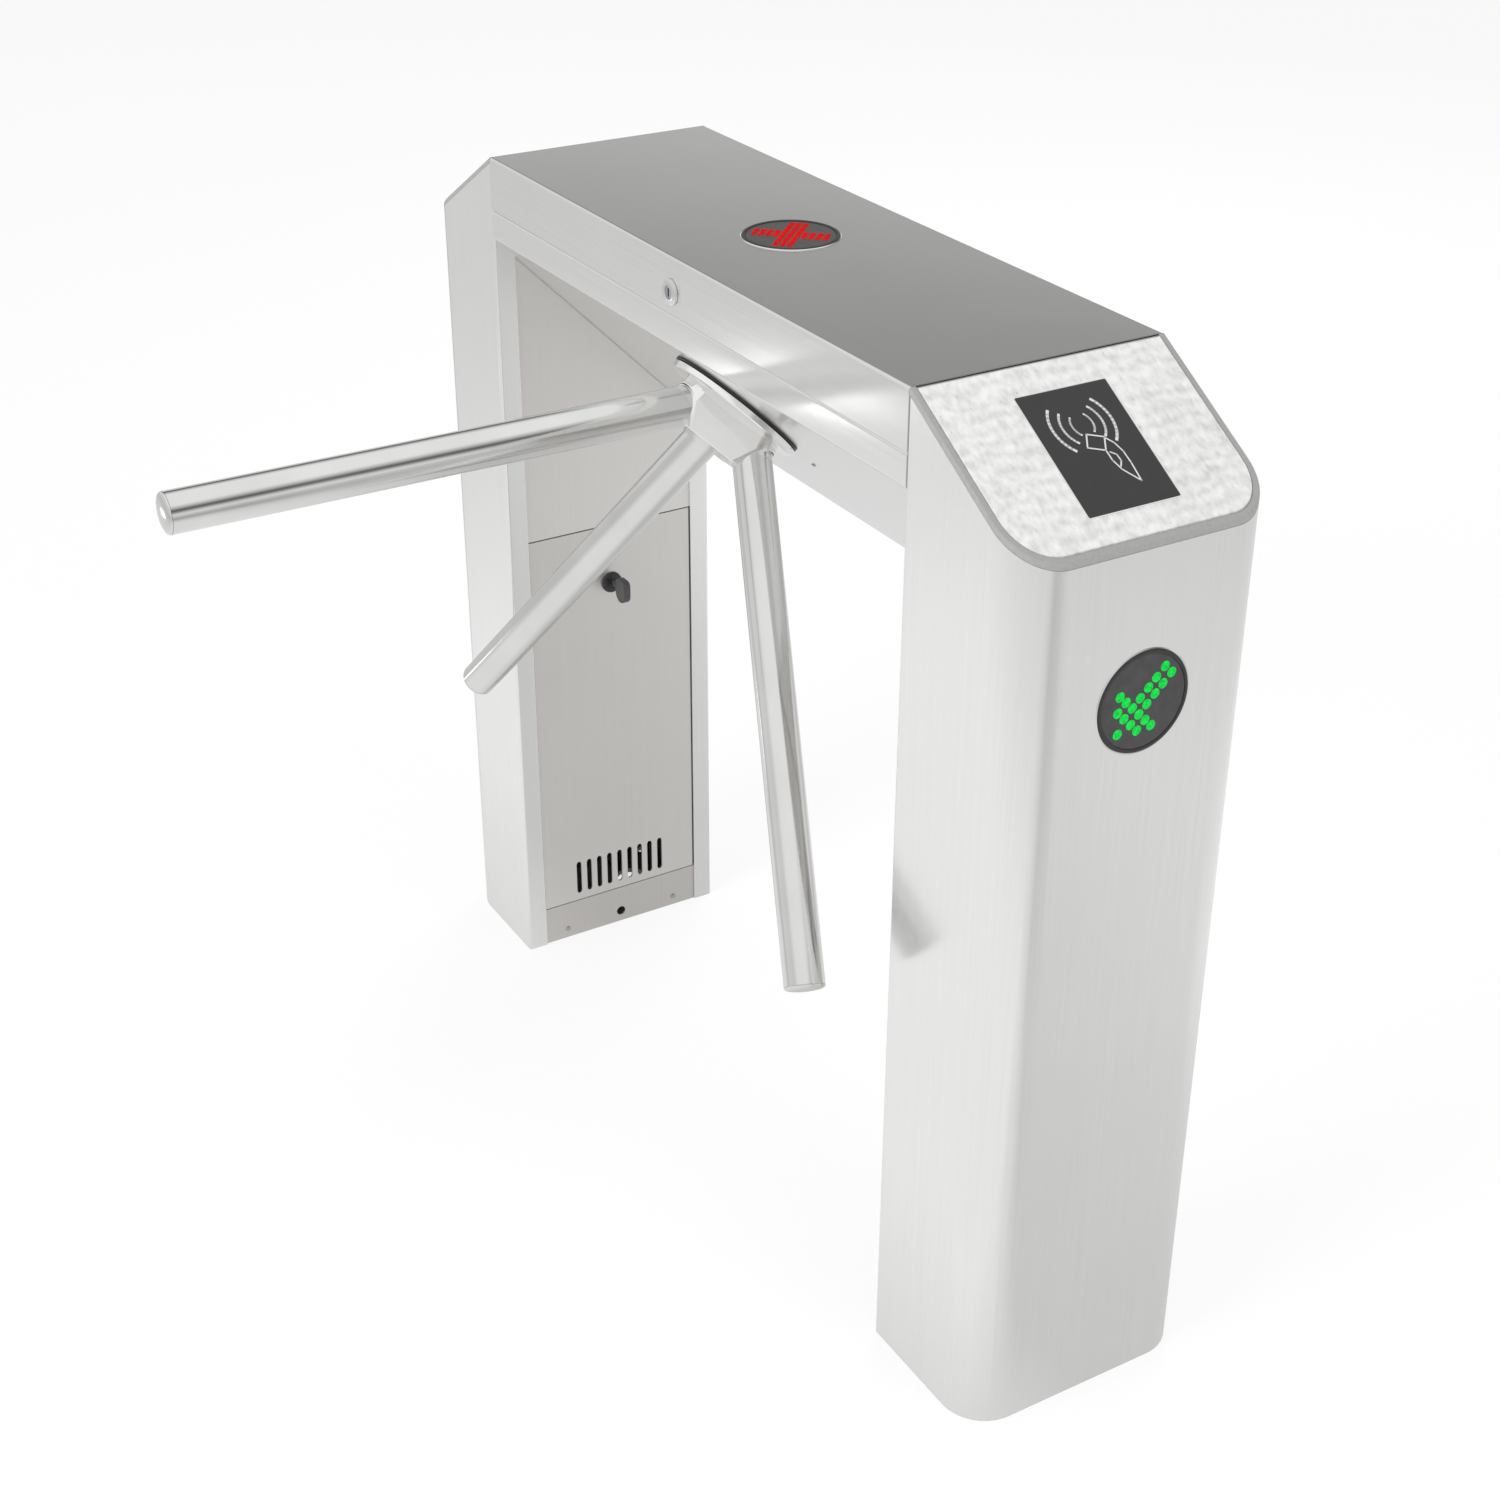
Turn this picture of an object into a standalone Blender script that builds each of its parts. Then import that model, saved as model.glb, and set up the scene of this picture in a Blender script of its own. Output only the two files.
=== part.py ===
"""Waist-high tripod turnstile: a bridge-shaped sheet-metal cabinet with a three-arm barrier.

The cabinet is worked in its own frame: X along the cabinet with the near leg at +X, the arms
on the -Y side, Z up from the floor. One empty carries everything and puts the middle of the
whole outline over the origin. All sizes are in metres.
"""

import math

import bmesh
import bpy
from mathutils import Matrix, Vector

# Cabinet
HEIGHT = 0.980
LENGTH = 1.095
WIDTH = 0.255
LEG_DEPTH = 0.161
SLOPE_DROP = 0.098
SHEET = 0.002
CORNER_RADIUS = 0.045
BEND_RADIUS = 0.003
LEG_FLANGE = 0.0235
WALL_DROP = 0.085
LID_DEPTH = 0.055
WALL_LIP = 0.012
LID_CAM_LENGTH = 0.020
LID_CAM_WIDTH = 0.010
LID_CAM_GRIP = 0.0138
LID_LOCK_RISE = 0.022
LID_KEEPER_DEPTH = 0.005
LID_KEEPER_BAR = 0.004
LID_KEEPER_GAP = 0.001
FIT = 0.0003
SEAM = 0.0005

# Service panels on the inner side of each leg
KICK_HEIGHT = 0.0485
DOOR_HEIGHT = 0.490
DOOR_SIDE_GAP = 0.0012
DOOR_TOP_GAP = 0.0015
PIVOT_PIN_RADIUS = 0.0007
PIVOT_PIN_REACH = 0.005
PANEL_OVERLAP = 0.010
FRAME_BAR = 0.0105
FRAME_TOP_BAR = 0.016
STIFFENER_DEPTH = 0.009
STIFFENER_GAP = 0.002
KEEPER_WIDTH = 0.012
KEEPER_DROP = 0.020
DOOR_CAM_LENGTH = 0.045
DOOR_CAM_WIDTH = 0.011
CAM_THICKNESS = 0.0025
DOOR_LOCK_BELOW_TOP = 0.071
LOCK_RADIUS = 0.0095
LOCK_HEAD_RADIUS = 0.0125
LOCK_HEAD = 0.0035
PLUG_RADIUS = 0.006
KEYWAY_WIDTH = 0.0024
KEYWAY_HEIGHT = 0.008
KEYWAY_DEPTH = 0.008
VENT_COUNT = 9
VENT_PITCH = 0.014
VENT_WIDTH = 0.0065
VENT_HEIGHT = 0.045
VENT_ABOVE_EDGE = 0.010
KICK_HOLE_RADIUS = 0.006
CABLE_OPENING_WIDTH = 0.090
CABLE_OPENING_HEIGHT = 0.080
KEY_BOW_WIDTH = 0.022
KEY_BOW_HEIGHT = 0.028
KEY_BOW_THICKNESS = 0.0085
KEY_BOW_CORNER = 0.006
KEY_REACH = 0.014

# Floor fixing
BASE_THICKNESS = 0.006
ANCHOR_HOLE_RADIUS = 0.0065
ANCHOR_INSET = 0.030
CABLE_HOLE_RADIUS = 0.018
CABLE_HOLE_SIDE = 0.055

# Sloped reader end
RIM_HEIGHT = 0.0055
RIM_OVERHANG = 0.0
RIM_BAND = 0.0075
RIM_LIP = 0.007
RIM_CREST_BAND = 0.002
PLATE_THICKNESS = 0.003
WINDOW_LENGTH = 0.1225
WINDOW_WIDTH = 0.0905
WINDOW_FROM_CREST = 0.032
WINDOW_LIP = 0.006
READER_DEPTH = 0.024
READER_FLANGE = 0.0025

# Round indicators
INDICATOR_RADIUS = 0.046
INDICATOR_BEZEL = 0.0035
INDICATOR_PROUD = 0.003
INDICATOR_BODY_RADIUS = 0.038
INDICATOR_DEPTH = 0.018
INDICATOR_FLOOR = 0.0008
END_INDICATOR_DROP = 0.239

# Lid hinge, outside the back wall
HINGE_PIN_RADIUS = 0.0018
HINGE_KNUCKLE_RADIUS = 0.004
HINGE_LENGTH = 0.600
HINGE_KNUCKLES = 7
HINGE_GAP = 0.0006
HINGE_LEAF = 0.0015
HINGE_LEAF_HEIGHT = 0.022
PIN_CLEARANCE = 0.0002

# Tripod
HUB_ALONG_SLOPE = 0.098
APEX_DEPTH = 0.013
ARM_REACH = 0.5715
ARM_RADIUS = 0.019
ARM_WALL = 0.002
ARM_ANGLE = math.radians(45)
SOCKET_FACE = 0.064
SOCKET_RADIUS = 0.0225
SOCKET_DEPTH = 0.017
SOCKET_RELIEF = 0.0025
ARM_CAP_DOME = 0.004
ARM_CAP_PLUG = 0.014
ARM_CAP_TAPER = 0.0005
COLLAR_RADIUS = 0.073
COLLAR_THICKNESS = 0.004
HUB_FLANGE_RADIUS = 0.0705
HUB_FLANGE = 0.007
HUB_CORNER_RADIUS = 0.024
HUB_CORNER_REACH = 0.044
HUB_FRONT_REACH = 0.035
RUNNING_GAP = 0.0005
SHAFT_RADIUS = 0.015
SHAFT_IN_HUB = 0.013
BOLT_RADIUS = 0.005
BOLT_HEAD_RADIUS = 0.008
BOLT_HEAD = 0.008
BOLT_THREAD = 0.018

# Mechanism inside the bridge
MECH_PLATE = 0.006
MECH_PLATE_SHORT = 0.105
MECH_PLATE_LONG = 0.168
MECH_PLATE_UP = 0.086
MECH_PLATE_DOWN = 0.100
SHELL_HOLE_RADIUS = 0.036
HOUSING_FLANGE_RADIUS = 0.0395
HOUSING_FLANGE = 0.008
HOUSING_RADIUS = 0.032
BEARING_RADIUS = 0.026
BEARING_WIDTH = 0.015
BEARING_SHOULDER = 0.003
BEARING_SPACING = 0.018
DISC_RADIUS = 0.055
DISC_THICKNESS = 0.008
DISC_BOSS_RADIUS = 0.024
DISC_BOSS = 0.004
NOTCH_WIDTH = 0.024
NOTCH_DEPTH = 0.009
GEAR_MODULE = 0.002
GEAR_TEETH = 48
PINION_TEETH = 16
GEAR_THICKNESS = 0.008
GEAR_BACKLASH = 0.0006
GEAR_SPACER = 0.006
SHAFT_TAIL = 0.012
DAMPER_RADIUS = 0.021
DAMPER_NECK_RADIUS = 0.008
PINION_SHAFT_RADIUS = 0.004
PAWL_PIVOT_OUT = 0.074
PAWL_PIVOT_SIDE = 0.052
PAWL_PIN_RADIUS = 0.005
PAWL_EYE_RADIUS = 0.011
PAWL_NOSE_SIDE = 0.007
PAWL_NOSE_HALF = 0.004
PAWL_STANDOFF = 0.0065
PAWL_WAIST = 0.008
PLUNGER_RADIUS = 0.004
PLUNGER_ARM = 0.028
SOLENOID_LENGTH = 0.042
SOLENOID_SIDE = 0.026
SOLENOID_GAP = 0.016
PLUNGER_STROKE = 0.006

# Control board on the back wall
BOARD_LENGTH = 0.180
BOARD_HEIGHT = 0.110
BOARD_THICKNESS = 0.002
BOARD_STANDOFF = 0.008
BOARD_FROM_LEG = 0.036
BOARD_ABOVE_EDGE = 0.050

# Sides of round pieces
ROUND_SIDES = 24
SMALL_SIDES = 16
CORNER_STEPS = 6

# Derived places
HALF_WIDTH = WIDTH / 2
INNER_X = LENGTH / 2 - LEG_DEPTH
OUTER_X = LENGTH / 2
SLOPE = SLOPE_DROP / LEG_DEPTH
LID_EDGE = HEIGHT - LID_DEPTH
WALL_EDGE = HEIGHT - WALL_DROP
END_INDICATOR_HEIGHT = HEIGHT - END_INDICATOR_DROP
BACK_EDGE = WALL_EDGE - WIDTH
FLANGE_Y = HALF_WIDTH - LEG_FLANGE
PANEL_X = INNER_X + SHEET + FIT
FRAME_X = PANEL_X + SHEET + FIT
DOOR_BOTTOM = KICK_HEIGHT + FIT
DOOR_TOP = DOOR_BOTTOM + DOOR_HEIGHT
DOOR_AXIS_Z = DOOR_BOTTOM + SHEET / 2
DOOR_AXIS_X = PANEL_X + SHEET / 2
LOCK_Z = DOOR_TOP - DOOR_LOCK_BELOW_TOP
HALF_ROOT = math.sqrt(0.5)
HINGE_Y = HALF_WIDTH + FIT + HINGE_KNUCKLE_RADIUS
HINGE_Z = LID_EDGE

# The tripod axis is square to the slanted underside: u runs along the cabinet, v down the
# slant towards the back wall, and w inwards, square to the slant.
HUB_Y = -HALF_WIDTH + HUB_ALONG_SLOPE * HALF_ROOT
HUB_Z = WALL_EDGE - HUB_ALONG_SLOPE * HALF_ROOT
MECH = Matrix(
    (
        (1.0, 0.0, 0.0, 0.0),
        (0.0, HALF_ROOT, HALF_ROOT, HUB_Y),
        (0.0, -HALF_ROOT, HALF_ROOT, HUB_Z),
        (0.0, 0.0, 0.0, 1.0),
    )
)
APEX = MECH @ Vector((0.0, 0.0, APEX_DEPTH))
CABINET_Y = (ARM_REACH - APEX.y - HINGE_Y - HINGE_KNUCKLE_RADIUS) / 2

# Stations along w, from outside to inside
COLLAR_OUT = -FIT - COLLAR_THICKNESS
HUB_BACK = COLLAR_OUT - RUNNING_GAP
MECH_PLATE_IN = SHEET + FIT
MECH_PLATE_OUT = MECH_PLATE_IN + MECH_PLATE
HOUSING_IN = MECH_PLATE_OUT + FIT
FRONT_BEARING = HOUSING_IN + BEARING_SHOULDER
REAR_BEARING = FRONT_BEARING + BEARING_WIDTH + BEARING_SPACING
HOUSING_OUT = REAR_BEARING + BEARING_WIDTH
DISC_IN = HOUSING_OUT + FIT + DISC_BOSS
DISC_OUT = DISC_IN + DISC_THICKNESS
GEAR_IN = DISC_OUT + FIT + GEAR_SPACER
GEAR_OUT = GEAR_IN + GEAR_THICKNESS
SHAFT_OUT = GEAR_OUT + SHAFT_TAIL
GEAR_PITCH = GEAR_MODULE * GEAR_TEETH / 2
PINION_PITCH = GEAR_MODULE * PINION_TEETH / 2
PINION_U = GEAR_PITCH + PINION_PITCH
DAMPER_OUT = HOUSING_OUT

PARTS = None
CUTTERS = None
ORIGIN = None


def clear_scene():
    """Removes whatever the file held before."""
    for obj in list(bpy.data.objects):
        bpy.data.objects.remove(obj, do_unlink=True)


def make_collection(name, hidden=False):
    """A collection of its own in the scene."""
    collection = bpy.data.collections.new(name)
    bpy.context.scene.collection.children.link(collection)
    collection.hide_render = hidden
    return collection


def material(name, colour, roughness, metallic):
    """A plain Principled material, made once for each name."""
    found = bpy.data.materials.get(name)
    if found:
        return found
    made = bpy.data.materials.new(name)
    made.use_nodes = True
    shader = made.node_tree.nodes["Principled BSDF"]
    shader.inputs["Base Color"].default_value = (*colour, 1.0)
    shader.inputs["Roughness"].default_value = roughness
    shader.inputs["Metallic"].default_value = metallic
    made.diffuse_color = (*colour, 1.0)
    return made


def steel():
    return material("satin_steel", (0.62, 0.62, 0.60), 0.35, 0.9)


def bright_steel():
    return material("polished_steel", (0.78, 0.78, 0.77), 0.12, 1.0)


def grey_trim():
    return material("grey_trim", (0.33, 0.33, 0.32), 0.5, 0.2)


def black_plastic():
    return material("black_plastic", (0.03, 0.03, 0.03), 0.45, 0.0)


def machined_steel():
    return material("machined_steel", (0.45, 0.46, 0.48), 0.3, 1.0)


def add_object(name, mesh, finish, place=None, collection=None):
    """An object under the cabinet's empty, with its own frame at `place`."""
    obj = bpy.data.objects.new(name, mesh)
    (collection or PARTS).objects.link(obj)
    obj.parent = ORIGIN
    obj.matrix_local = place or Matrix.Identity(4)
    if finish:
        mesh.materials.append(finish)
    mesh.shade_smooth()
    mesh.set_sharp_from_angle(angle=math.radians(30))
    return obj


def mesh_from(bm, name):
    """The bmesh as a mesh, with the bmesh freed."""
    mesh = bpy.data.meshes.new(name)
    bm.to_mesh(mesh)
    bm.free()
    return mesh


def at(x, y, z):
    return Matrix.Translation((x, y, z))


def frame_along(origin, direction, reference=(1.0, 0.0, 0.0)):
    """A frame at `origin` whose Z runs along `direction`."""
    z_axis = Vector(direction).normalized()
    x_axis = (Vector(reference) - Vector(reference).dot(z_axis) * z_axis).normalized()
    y_axis = z_axis.cross(x_axis)
    turn = Matrix((x_axis, y_axis, z_axis)).transposed().to_4x4()
    return Matrix.Translation(origin) @ turn


def arc(cx, cy, radius, start, end, steps):
    """Points on an arc, angles in degrees, both ends included."""
    points = []
    for i in range(steps + 1):
        angle = math.radians(start + (end - start) * i / steps)
        points.append((cx + radius * math.cos(angle), cy + radius * math.sin(angle)))
    return points


def circle(cx, cy, radius, sides):
    return arc(cx, cy, radius, 0, 360 * (sides - 1) / sides, sides - 1)


def rectangle(x0, y0, x1, y1):
    return [(x0, y0), (x1, y0), (x1, y1), (x0, y1)]


def rounded_rectangle(x0, y0, x1, y1, radius, steps=3):
    return (
        arc(x1 - radius, y0 + radius, radius, -90, 0, steps)
        + arc(x1 - radius, y1 - radius, radius, 0, 90, steps)
        + arc(x0 + radius, y1 - radius, radius, 90, 180, steps)
        + arc(x0 + radius, y0 + radius, radius, 180, 270, steps)
    )


def plate_mesh(name, loops, thickness):
    """A flat outline with holes, from Z=0 up to its thickness."""
    curve = bpy.data.curves.new(name + "_outline", "CURVE")
    curve.dimensions = "2D"
    curve.fill_mode = "BOTH"
    curve.extrude = thickness / 2
    for loop in loops:
        spline = curve.splines.new("POLY")
        spline.points.add(len(loop) - 1)
        spline.use_cyclic_u = True
        for point, (x, y) in zip(spline.points, loop):
            point.co = (x, y, 0.0, 1.0)
    holder = bpy.data.objects.new(name + "_outline", curve)
    CUTTERS.objects.link(holder)
    graph = bpy.context.evaluated_depsgraph_get()
    mesh = bpy.data.meshes.new_from_object(holder.evaluated_get(graph))
    bpy.data.objects.remove(holder)
    bm = bmesh.new()
    bm.from_mesh(mesh)
    bmesh.ops.remove_doubles(bm, verts=bm.verts, dist=1e-6)
    bmesh.ops.translate(bm, verts=bm.verts, vec=(0.0, 0.0, thickness / 2))
    bmesh.ops.recalc_face_normals(bm, faces=bm.faces)
    bm.to_mesh(mesh)
    bm.free()
    mesh.materials.clear()
    return mesh


def plate(name, loops, thickness, finish, place, collection=None):
    return add_object(name, plate_mesh(name, loops, thickness), finish, place, collection)


def side_frame(x):
    """A frame whose X is the cabinet's Y, whose Y is up and whose Z runs along +X."""
    return Matrix(((0, 0, 1, x), (1, 0, 0, 0), (0, 1, 0, 0), (0, 0, 0, 1)))


def box_mesh(name, low, high):
    bm = bmesh.new()
    size = Vector(high) - Vector(low)
    middle = (Vector(high) + Vector(low)) / 2
    bmesh.ops.create_cube(bm, size=1.0, matrix=Matrix.Translation(middle) @ Matrix.Diagonal((*size, 1.0)))
    return mesh_from(bm, name)


def box(name, low, high, finish, place=None, collection=None):
    return add_object(name, box_mesh(name, low, high), finish, place, collection)


def cylinder_mesh(name, radius, start, end, sides=ROUND_SIDES):
    """A closed cylinder about Z from `start` to `end`."""
    bm = bmesh.new()
    bmesh.ops.create_cone(
        bm,
        cap_ends=True,
        segments=sides,
        radius1=radius,
        radius2=radius,
        depth=end - start,
        matrix=Matrix.Translation((0, 0, (start + end) / 2)),
    )
    return mesh_from(bm, name)


def turned(name, profile, finish, place, steps=ROUND_SIDES, collection=None):
    """A solid of revolution about Z from a closed profile, or one that starts and ends on the axis."""
    bm = bmesh.new()
    verts = [bm.verts.new((radius, 0.0, height)) for radius, height in profile]
    for first, second in zip(verts, verts[1:]):
        bm.edges.new((first, second))
    if profile[0][0] > 0:
        bm.edges.new((verts[-1], verts[0]))
    obj = add_object(name, mesh_from(bm, name), finish, place, collection)
    screw = obj.modifiers.new("turn", "SCREW")
    screw.steps = steps
    screw.render_steps = steps
    screw.use_merge_vertices = True
    screw.merge_threshold = 1e-5
    screw.use_smooth_shade = True
    return obj


def sheet(name, path, sweep, inside, finish):
    """Folded sheet metal: an open path swept along `sweep`, with its thickness added inwards."""
    bm = bmesh.new()
    verts = [bm.verts.new(point) for point in path]
    edges = [bm.edges.new(pair) for pair in zip(verts, verts[1:])]
    made = bmesh.ops.extrude_edge_only(bm, edges=edges)["geom"]
    far = [item for item in made if isinstance(item, bmesh.types.BMVert)]
    bmesh.ops.translate(bm, verts=far, vec=sweep)
    bm.faces.ensure_lookup_table()
    bmesh.ops.recalc_face_normals(bm, faces=bm.faces)
    outward = sum(
        face.normal.dot(face.calc_center_median() - Vector(inside)) * face.calc_area() for face in bm.faces
    )
    if outward < 0:
        bmesh.ops.reverse_faces(bm, faces=bm.faces)
    obj = add_object(name, mesh_from(bm, name), finish)
    solid = obj.modifiers.new("thickness", "SOLIDIFY")
    solid.thickness = SHEET
    solid.offset = -1.0
    solid.use_even_offset = True
    return obj


def combine(obj, other, operation):
    """A live Boolean with another object, which becomes a hidden helper."""
    for collection in list(other.users_collection):
        collection.objects.unlink(other)
    CUTTERS.objects.link(other)
    other.hide_render = True
    other.display_type = "WIRE"
    boolean = obj.modifiers.new(operation.lower(), "BOOLEAN")
    boolean.operation = operation
    boolean.object = other
    boolean.solver = "EXACT"
    return obj


def cut(obj, cutter):
    return combine(obj, cutter, "DIFFERENCE")


def join(obj, other):
    return combine(obj, other, "UNION")


def drill(obj, radius, place, reach, sides=ROUND_SIDES):
    """A round hole about the Z of `place`, `reach` to each side of it, its flats clear of `radius`."""
    name = obj.name + "_drill"
    clear = radius / math.cos(math.pi / sides)
    return cut(obj, add_object(name, cylinder_mesh(name, clear, -reach, reach, sides), None, place, CUTTERS))


def settle(obj):
    """Makes the shape that the modifiers give the object's own mesh, in the cabinet's frame."""
    bpy.context.view_layer.update()
    graph = bpy.context.evaluated_depsgraph_get()
    mesh = bpy.data.meshes.new_from_object(obj.evaluated_get(graph))
    obj.modifiers.clear()
    obj.data = mesh
    return obj


def far_copy(obj, name, finish=None):
    """The same piece mirrored to the far end of the cabinet."""
    settle(obj)
    mirror = Matrix.Diagonal((-1.0, 1.0, 1.0, 1.0))
    mesh = obj.data.copy()
    mesh.transform(obj.matrix_local)
    mesh.transform(mirror)
    mesh.flip_normals()
    mesh.materials.clear()
    place = Matrix.Translation(mirror @ obj.matrix_local.translation)
    mesh.transform(place.inverted())
    return add_object(name, mesh, finish or obj.data.materials[0], place)


# Legs


def leg_section(inset=0.0, crest_inset=None):
    """Closed outline of the leg seen from above, drawn in by `inset`."""
    crest = inset if crest_inset is None else crest_inset
    side = HALF_WIDTH - inset
    radius = max(CORNER_RADIUS - inset, BEND_RADIUS)
    far_x = OUTER_X - inset
    near_x = INNER_X + crest
    return (
        [(near_x, -side)]
        + arc(far_x - radius, -side + radius, radius, -90, 0, CORNER_STEPS)
        + arc(far_x - radius, side - radius, radius, 0, 90, CORNER_STEPS)
        + [(near_x, side)]
    )


def leg_shell():
    """The leg's outer skin: a C of folded sheet, open on its inner side between two flanges."""
    bend = BEND_RADIUS
    path = [(INNER_X, -FLANGE_Y)]
    path += arc(INNER_X + bend, -HALF_WIDTH + bend, bend, 180, 270, 2)
    path += arc(OUTER_X - CORNER_RADIUS, -HALF_WIDTH + CORNER_RADIUS, CORNER_RADIUS, -90, 0, CORNER_STEPS)
    path += arc(OUTER_X - CORNER_RADIUS, HALF_WIDTH - CORNER_RADIUS, CORNER_RADIUS, 0, 90, CORNER_STEPS)
    path += arc(INNER_X + bend, HALF_WIDTH - bend, bend, 90, 180, 2)
    path += [(INNER_X, FLANGE_Y)]
    shell = sheet(
        "near_leg_shell",
        [(x, y, 0.0) for x, y in path],
        (0.0, 0.0, HEIGHT),
        (INNER_X + LEG_DEPTH / 2, 0.0, HEIGHT / 2),
        steel(),
    )
    above = box_mesh("leg_slope", (INNER_X - SHEET, -WIDTH, 0.0), (OUTER_X + SHEET, WIDTH, LEG_DEPTH))
    above.transform(slope_frame(-RIM_HEIGHT - FIT))
    cut(shell, add_object("leg_slope", above, None, None, CUTTERS))
    hole = INDICATOR_BODY_RADIUS + FIT
    drill(shell, hole, frame_along((OUTER_X, 0, END_INDICATOR_HEIGHT), (1, 0, 0), (0, 1, 0)), 3 * SHEET)
    return shell


def base_plate():
    """Floor plate inside the foot, with four anchor holes and two cable holes."""
    inset = SHEET + FIT
    outline = leg_section(inset, crest_inset=SHEET + SHEET + 3 * FIT)
    low_x = INNER_X + ANCHOR_INSET
    high_x = OUTER_X - ANCHOR_INSET
    side = HALF_WIDTH - ANCHOR_INSET
    holes = [circle(x, y, ANCHOR_HOLE_RADIUS, 12) for x in (low_x, high_x) for y in (-side, side)]
    middle = (low_x + high_x) / 2
    holes += [circle(middle, y, CABLE_HOLE_RADIUS, SMALL_SIDES) for y in (-CABLE_HOLE_SIDE, CABLE_HOLE_SIDE)]
    return plate("near_base_plate", [outline] + holes, BASE_THICKNESS, machined_steel(), at(0, 0, 0))


def kick_plate():
    """Plate that closes the foot of the inner side, behind the two flanges."""
    side = FLANGE_Y + PANEL_OVERLAP
    loops = [rectangle(-side, 0.0, side, KICK_HEIGHT), circle(0.0, KICK_HEIGHT * 0.3, KICK_HOLE_RADIUS, 12)]
    return plate("near_kick_plate", loops, SHEET, steel(), side_frame(PANEL_X))


def upper_panel():
    """Fixed inner panel above the door, with the cable opening that the bridge hides."""
    side = FLANGE_Y + PANEL_OVERLAP
    bottom = DOOR_TOP + DOOR_TOP_GAP
    top = HEIGHT - RIM_HEIGHT - LID_DEPTH * 0.3
    open_low = HUB_Z - CABLE_OPENING_HEIGHT * 0.3
    open_y = HALF_WIDTH - SHEET - LEG_FLANGE - CABLE_OPENING_WIDTH
    opening = rounded_rectangle(
        open_y, open_low, open_y + CABLE_OPENING_WIDTH, open_low + CABLE_OPENING_HEIGHT, 0.01
    )
    outline = rectangle(-side, bottom, side, top)
    return plate("near_upper_panel", [outline, opening], SHEET, steel(), side_frame(PANEL_X))


def door_frame():
    """Ring of flat bar behind the door, with the keeper that the lock's cam goes behind."""
    side = FLANGE_Y + PANEL_OVERLAP
    hole_side = FLANGE_Y - FRAME_BAR
    hole_low = KICK_HEIGHT - STIFFENER_GAP
    hole_high = DOOR_TOP - FRAME_TOP_BAR
    keeper = KEEPER_WIDTH / 2
    opening = [
        (-hole_side, hole_low),
        (hole_side, hole_low),
        (hole_side, hole_high),
        (keeper, hole_high),
        (keeper, hole_high - KEEPER_DROP),
        (-keeper, hole_high - KEEPER_DROP),
        (-keeper, hole_high),
        (-hole_side, hole_high),
    ]
    outline = rectangle(-side, KICK_HEIGHT - FRAME_TOP_BAR, side, DOOR_TOP + FRAME_TOP_BAR)
    return plate("near_door_frame", [outline, opening], SHEET, machined_steel(), side_frame(FRAME_X))


def vent_slot(y, low):
    """One upright vent slot with half-round ends."""
    radius = VENT_WIDTH / 2
    top = low + VENT_HEIGHT
    return arc(y, low + radius, radius, 180, 360, 3) + arc(y, top - radius, radius, 0, 180, 3)


def door():
    """Drop-down service door: a leaf with a stiffener behind it, turning on its rounded lower edge."""
    side = FLANGE_Y - DOOR_SIDE_GAP
    leaf = plate(
        "near_door", [rectangle(-side, DOOR_AXIS_Z, side, DOOR_TOP)], SHEET, steel(), side_frame(PANEL_X)
    )
    first = -VENT_PITCH * (VENT_COUNT - 1) / 2
    low = DOOR_BOTTOM + VENT_ABOVE_EDGE
    slots = [vent_slot(first + i * VENT_PITCH, low) for i in range(VENT_COUNT)]
    cut(leaf, plate("door_vents", slots, 3 * SHEET, None, side_frame(PANEL_X - SHEET), CUTTERS))
    lock_place = frame_along((PANEL_X, 0.0, LOCK_Z), (-1, 0, 0), (0, 1, 0))
    drill(leaf, LOCK_RADIUS + FIT, lock_place, 3 * SHEET, SMALL_SIDES)
    roll = cylinder_mesh("door_roll", SHEET / 2 - FIT / 3, -side, side, 12)
    axis_place = frame_along((DOOR_AXIS_X, 0.0, DOOR_AXIS_Z), (0, 1, 0))
    join(leaf, add_object("door_roll", roll, None, axis_place, CUTTERS))
    inner = FLANGE_Y - FRAME_BAR - STIFFENER_GAP
    low = DOOR_BOTTOM + VENT_ABOVE_EDGE + VENT_HEIGHT + STIFFENER_GAP
    high = DOOR_TOP - FRAME_TOP_BAR - STIFFENER_GAP
    gap = KEEPER_WIDTH / 2 + STIFFENER_GAP
    back = SHEET + STIFFENER_DEPTH
    ring = [(-gap, high), (-inner, high), (-inner, low), (inner, low), (inner, high), (gap, high)]
    ring += [(gap, high - SHEET), (inner - SHEET, high - SHEET), (inner - SHEET, low + SHEET)]
    ring += [(SHEET - inner, low + SHEET), (SHEET - inner, high - SHEET), (-gap, high - SHEET)]
    fold = plate_mesh("door_stiffener", [ring], back - SHEET / 2)
    place = side_frame(PANEL_X + SHEET / 2)
    join(leaf, add_object("door_stiffener", fold, None, place, CUTTERS))
    reach = side + PIVOT_PIN_REACH
    pins = cylinder_mesh("door_pins", PIVOT_PIN_RADIUS, -reach, reach, 8)
    join(leaf, add_object("door_pins", pins, None, axis_place, CUTTERS))
    return settle_on_axis(leaf, (DOOR_AXIS_X, 0.0, DOOR_AXIS_Z))


def settle_on_axis(obj, point):
    """Gives a moving piece its origin on its joint's axis, its shape unmoved."""
    settle(obj)
    obj.data.transform(Matrix.Translation(point).inverted() @ obj.matrix_local)
    obj.matrix_local = Matrix.Translation(point)
    return obj


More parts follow.
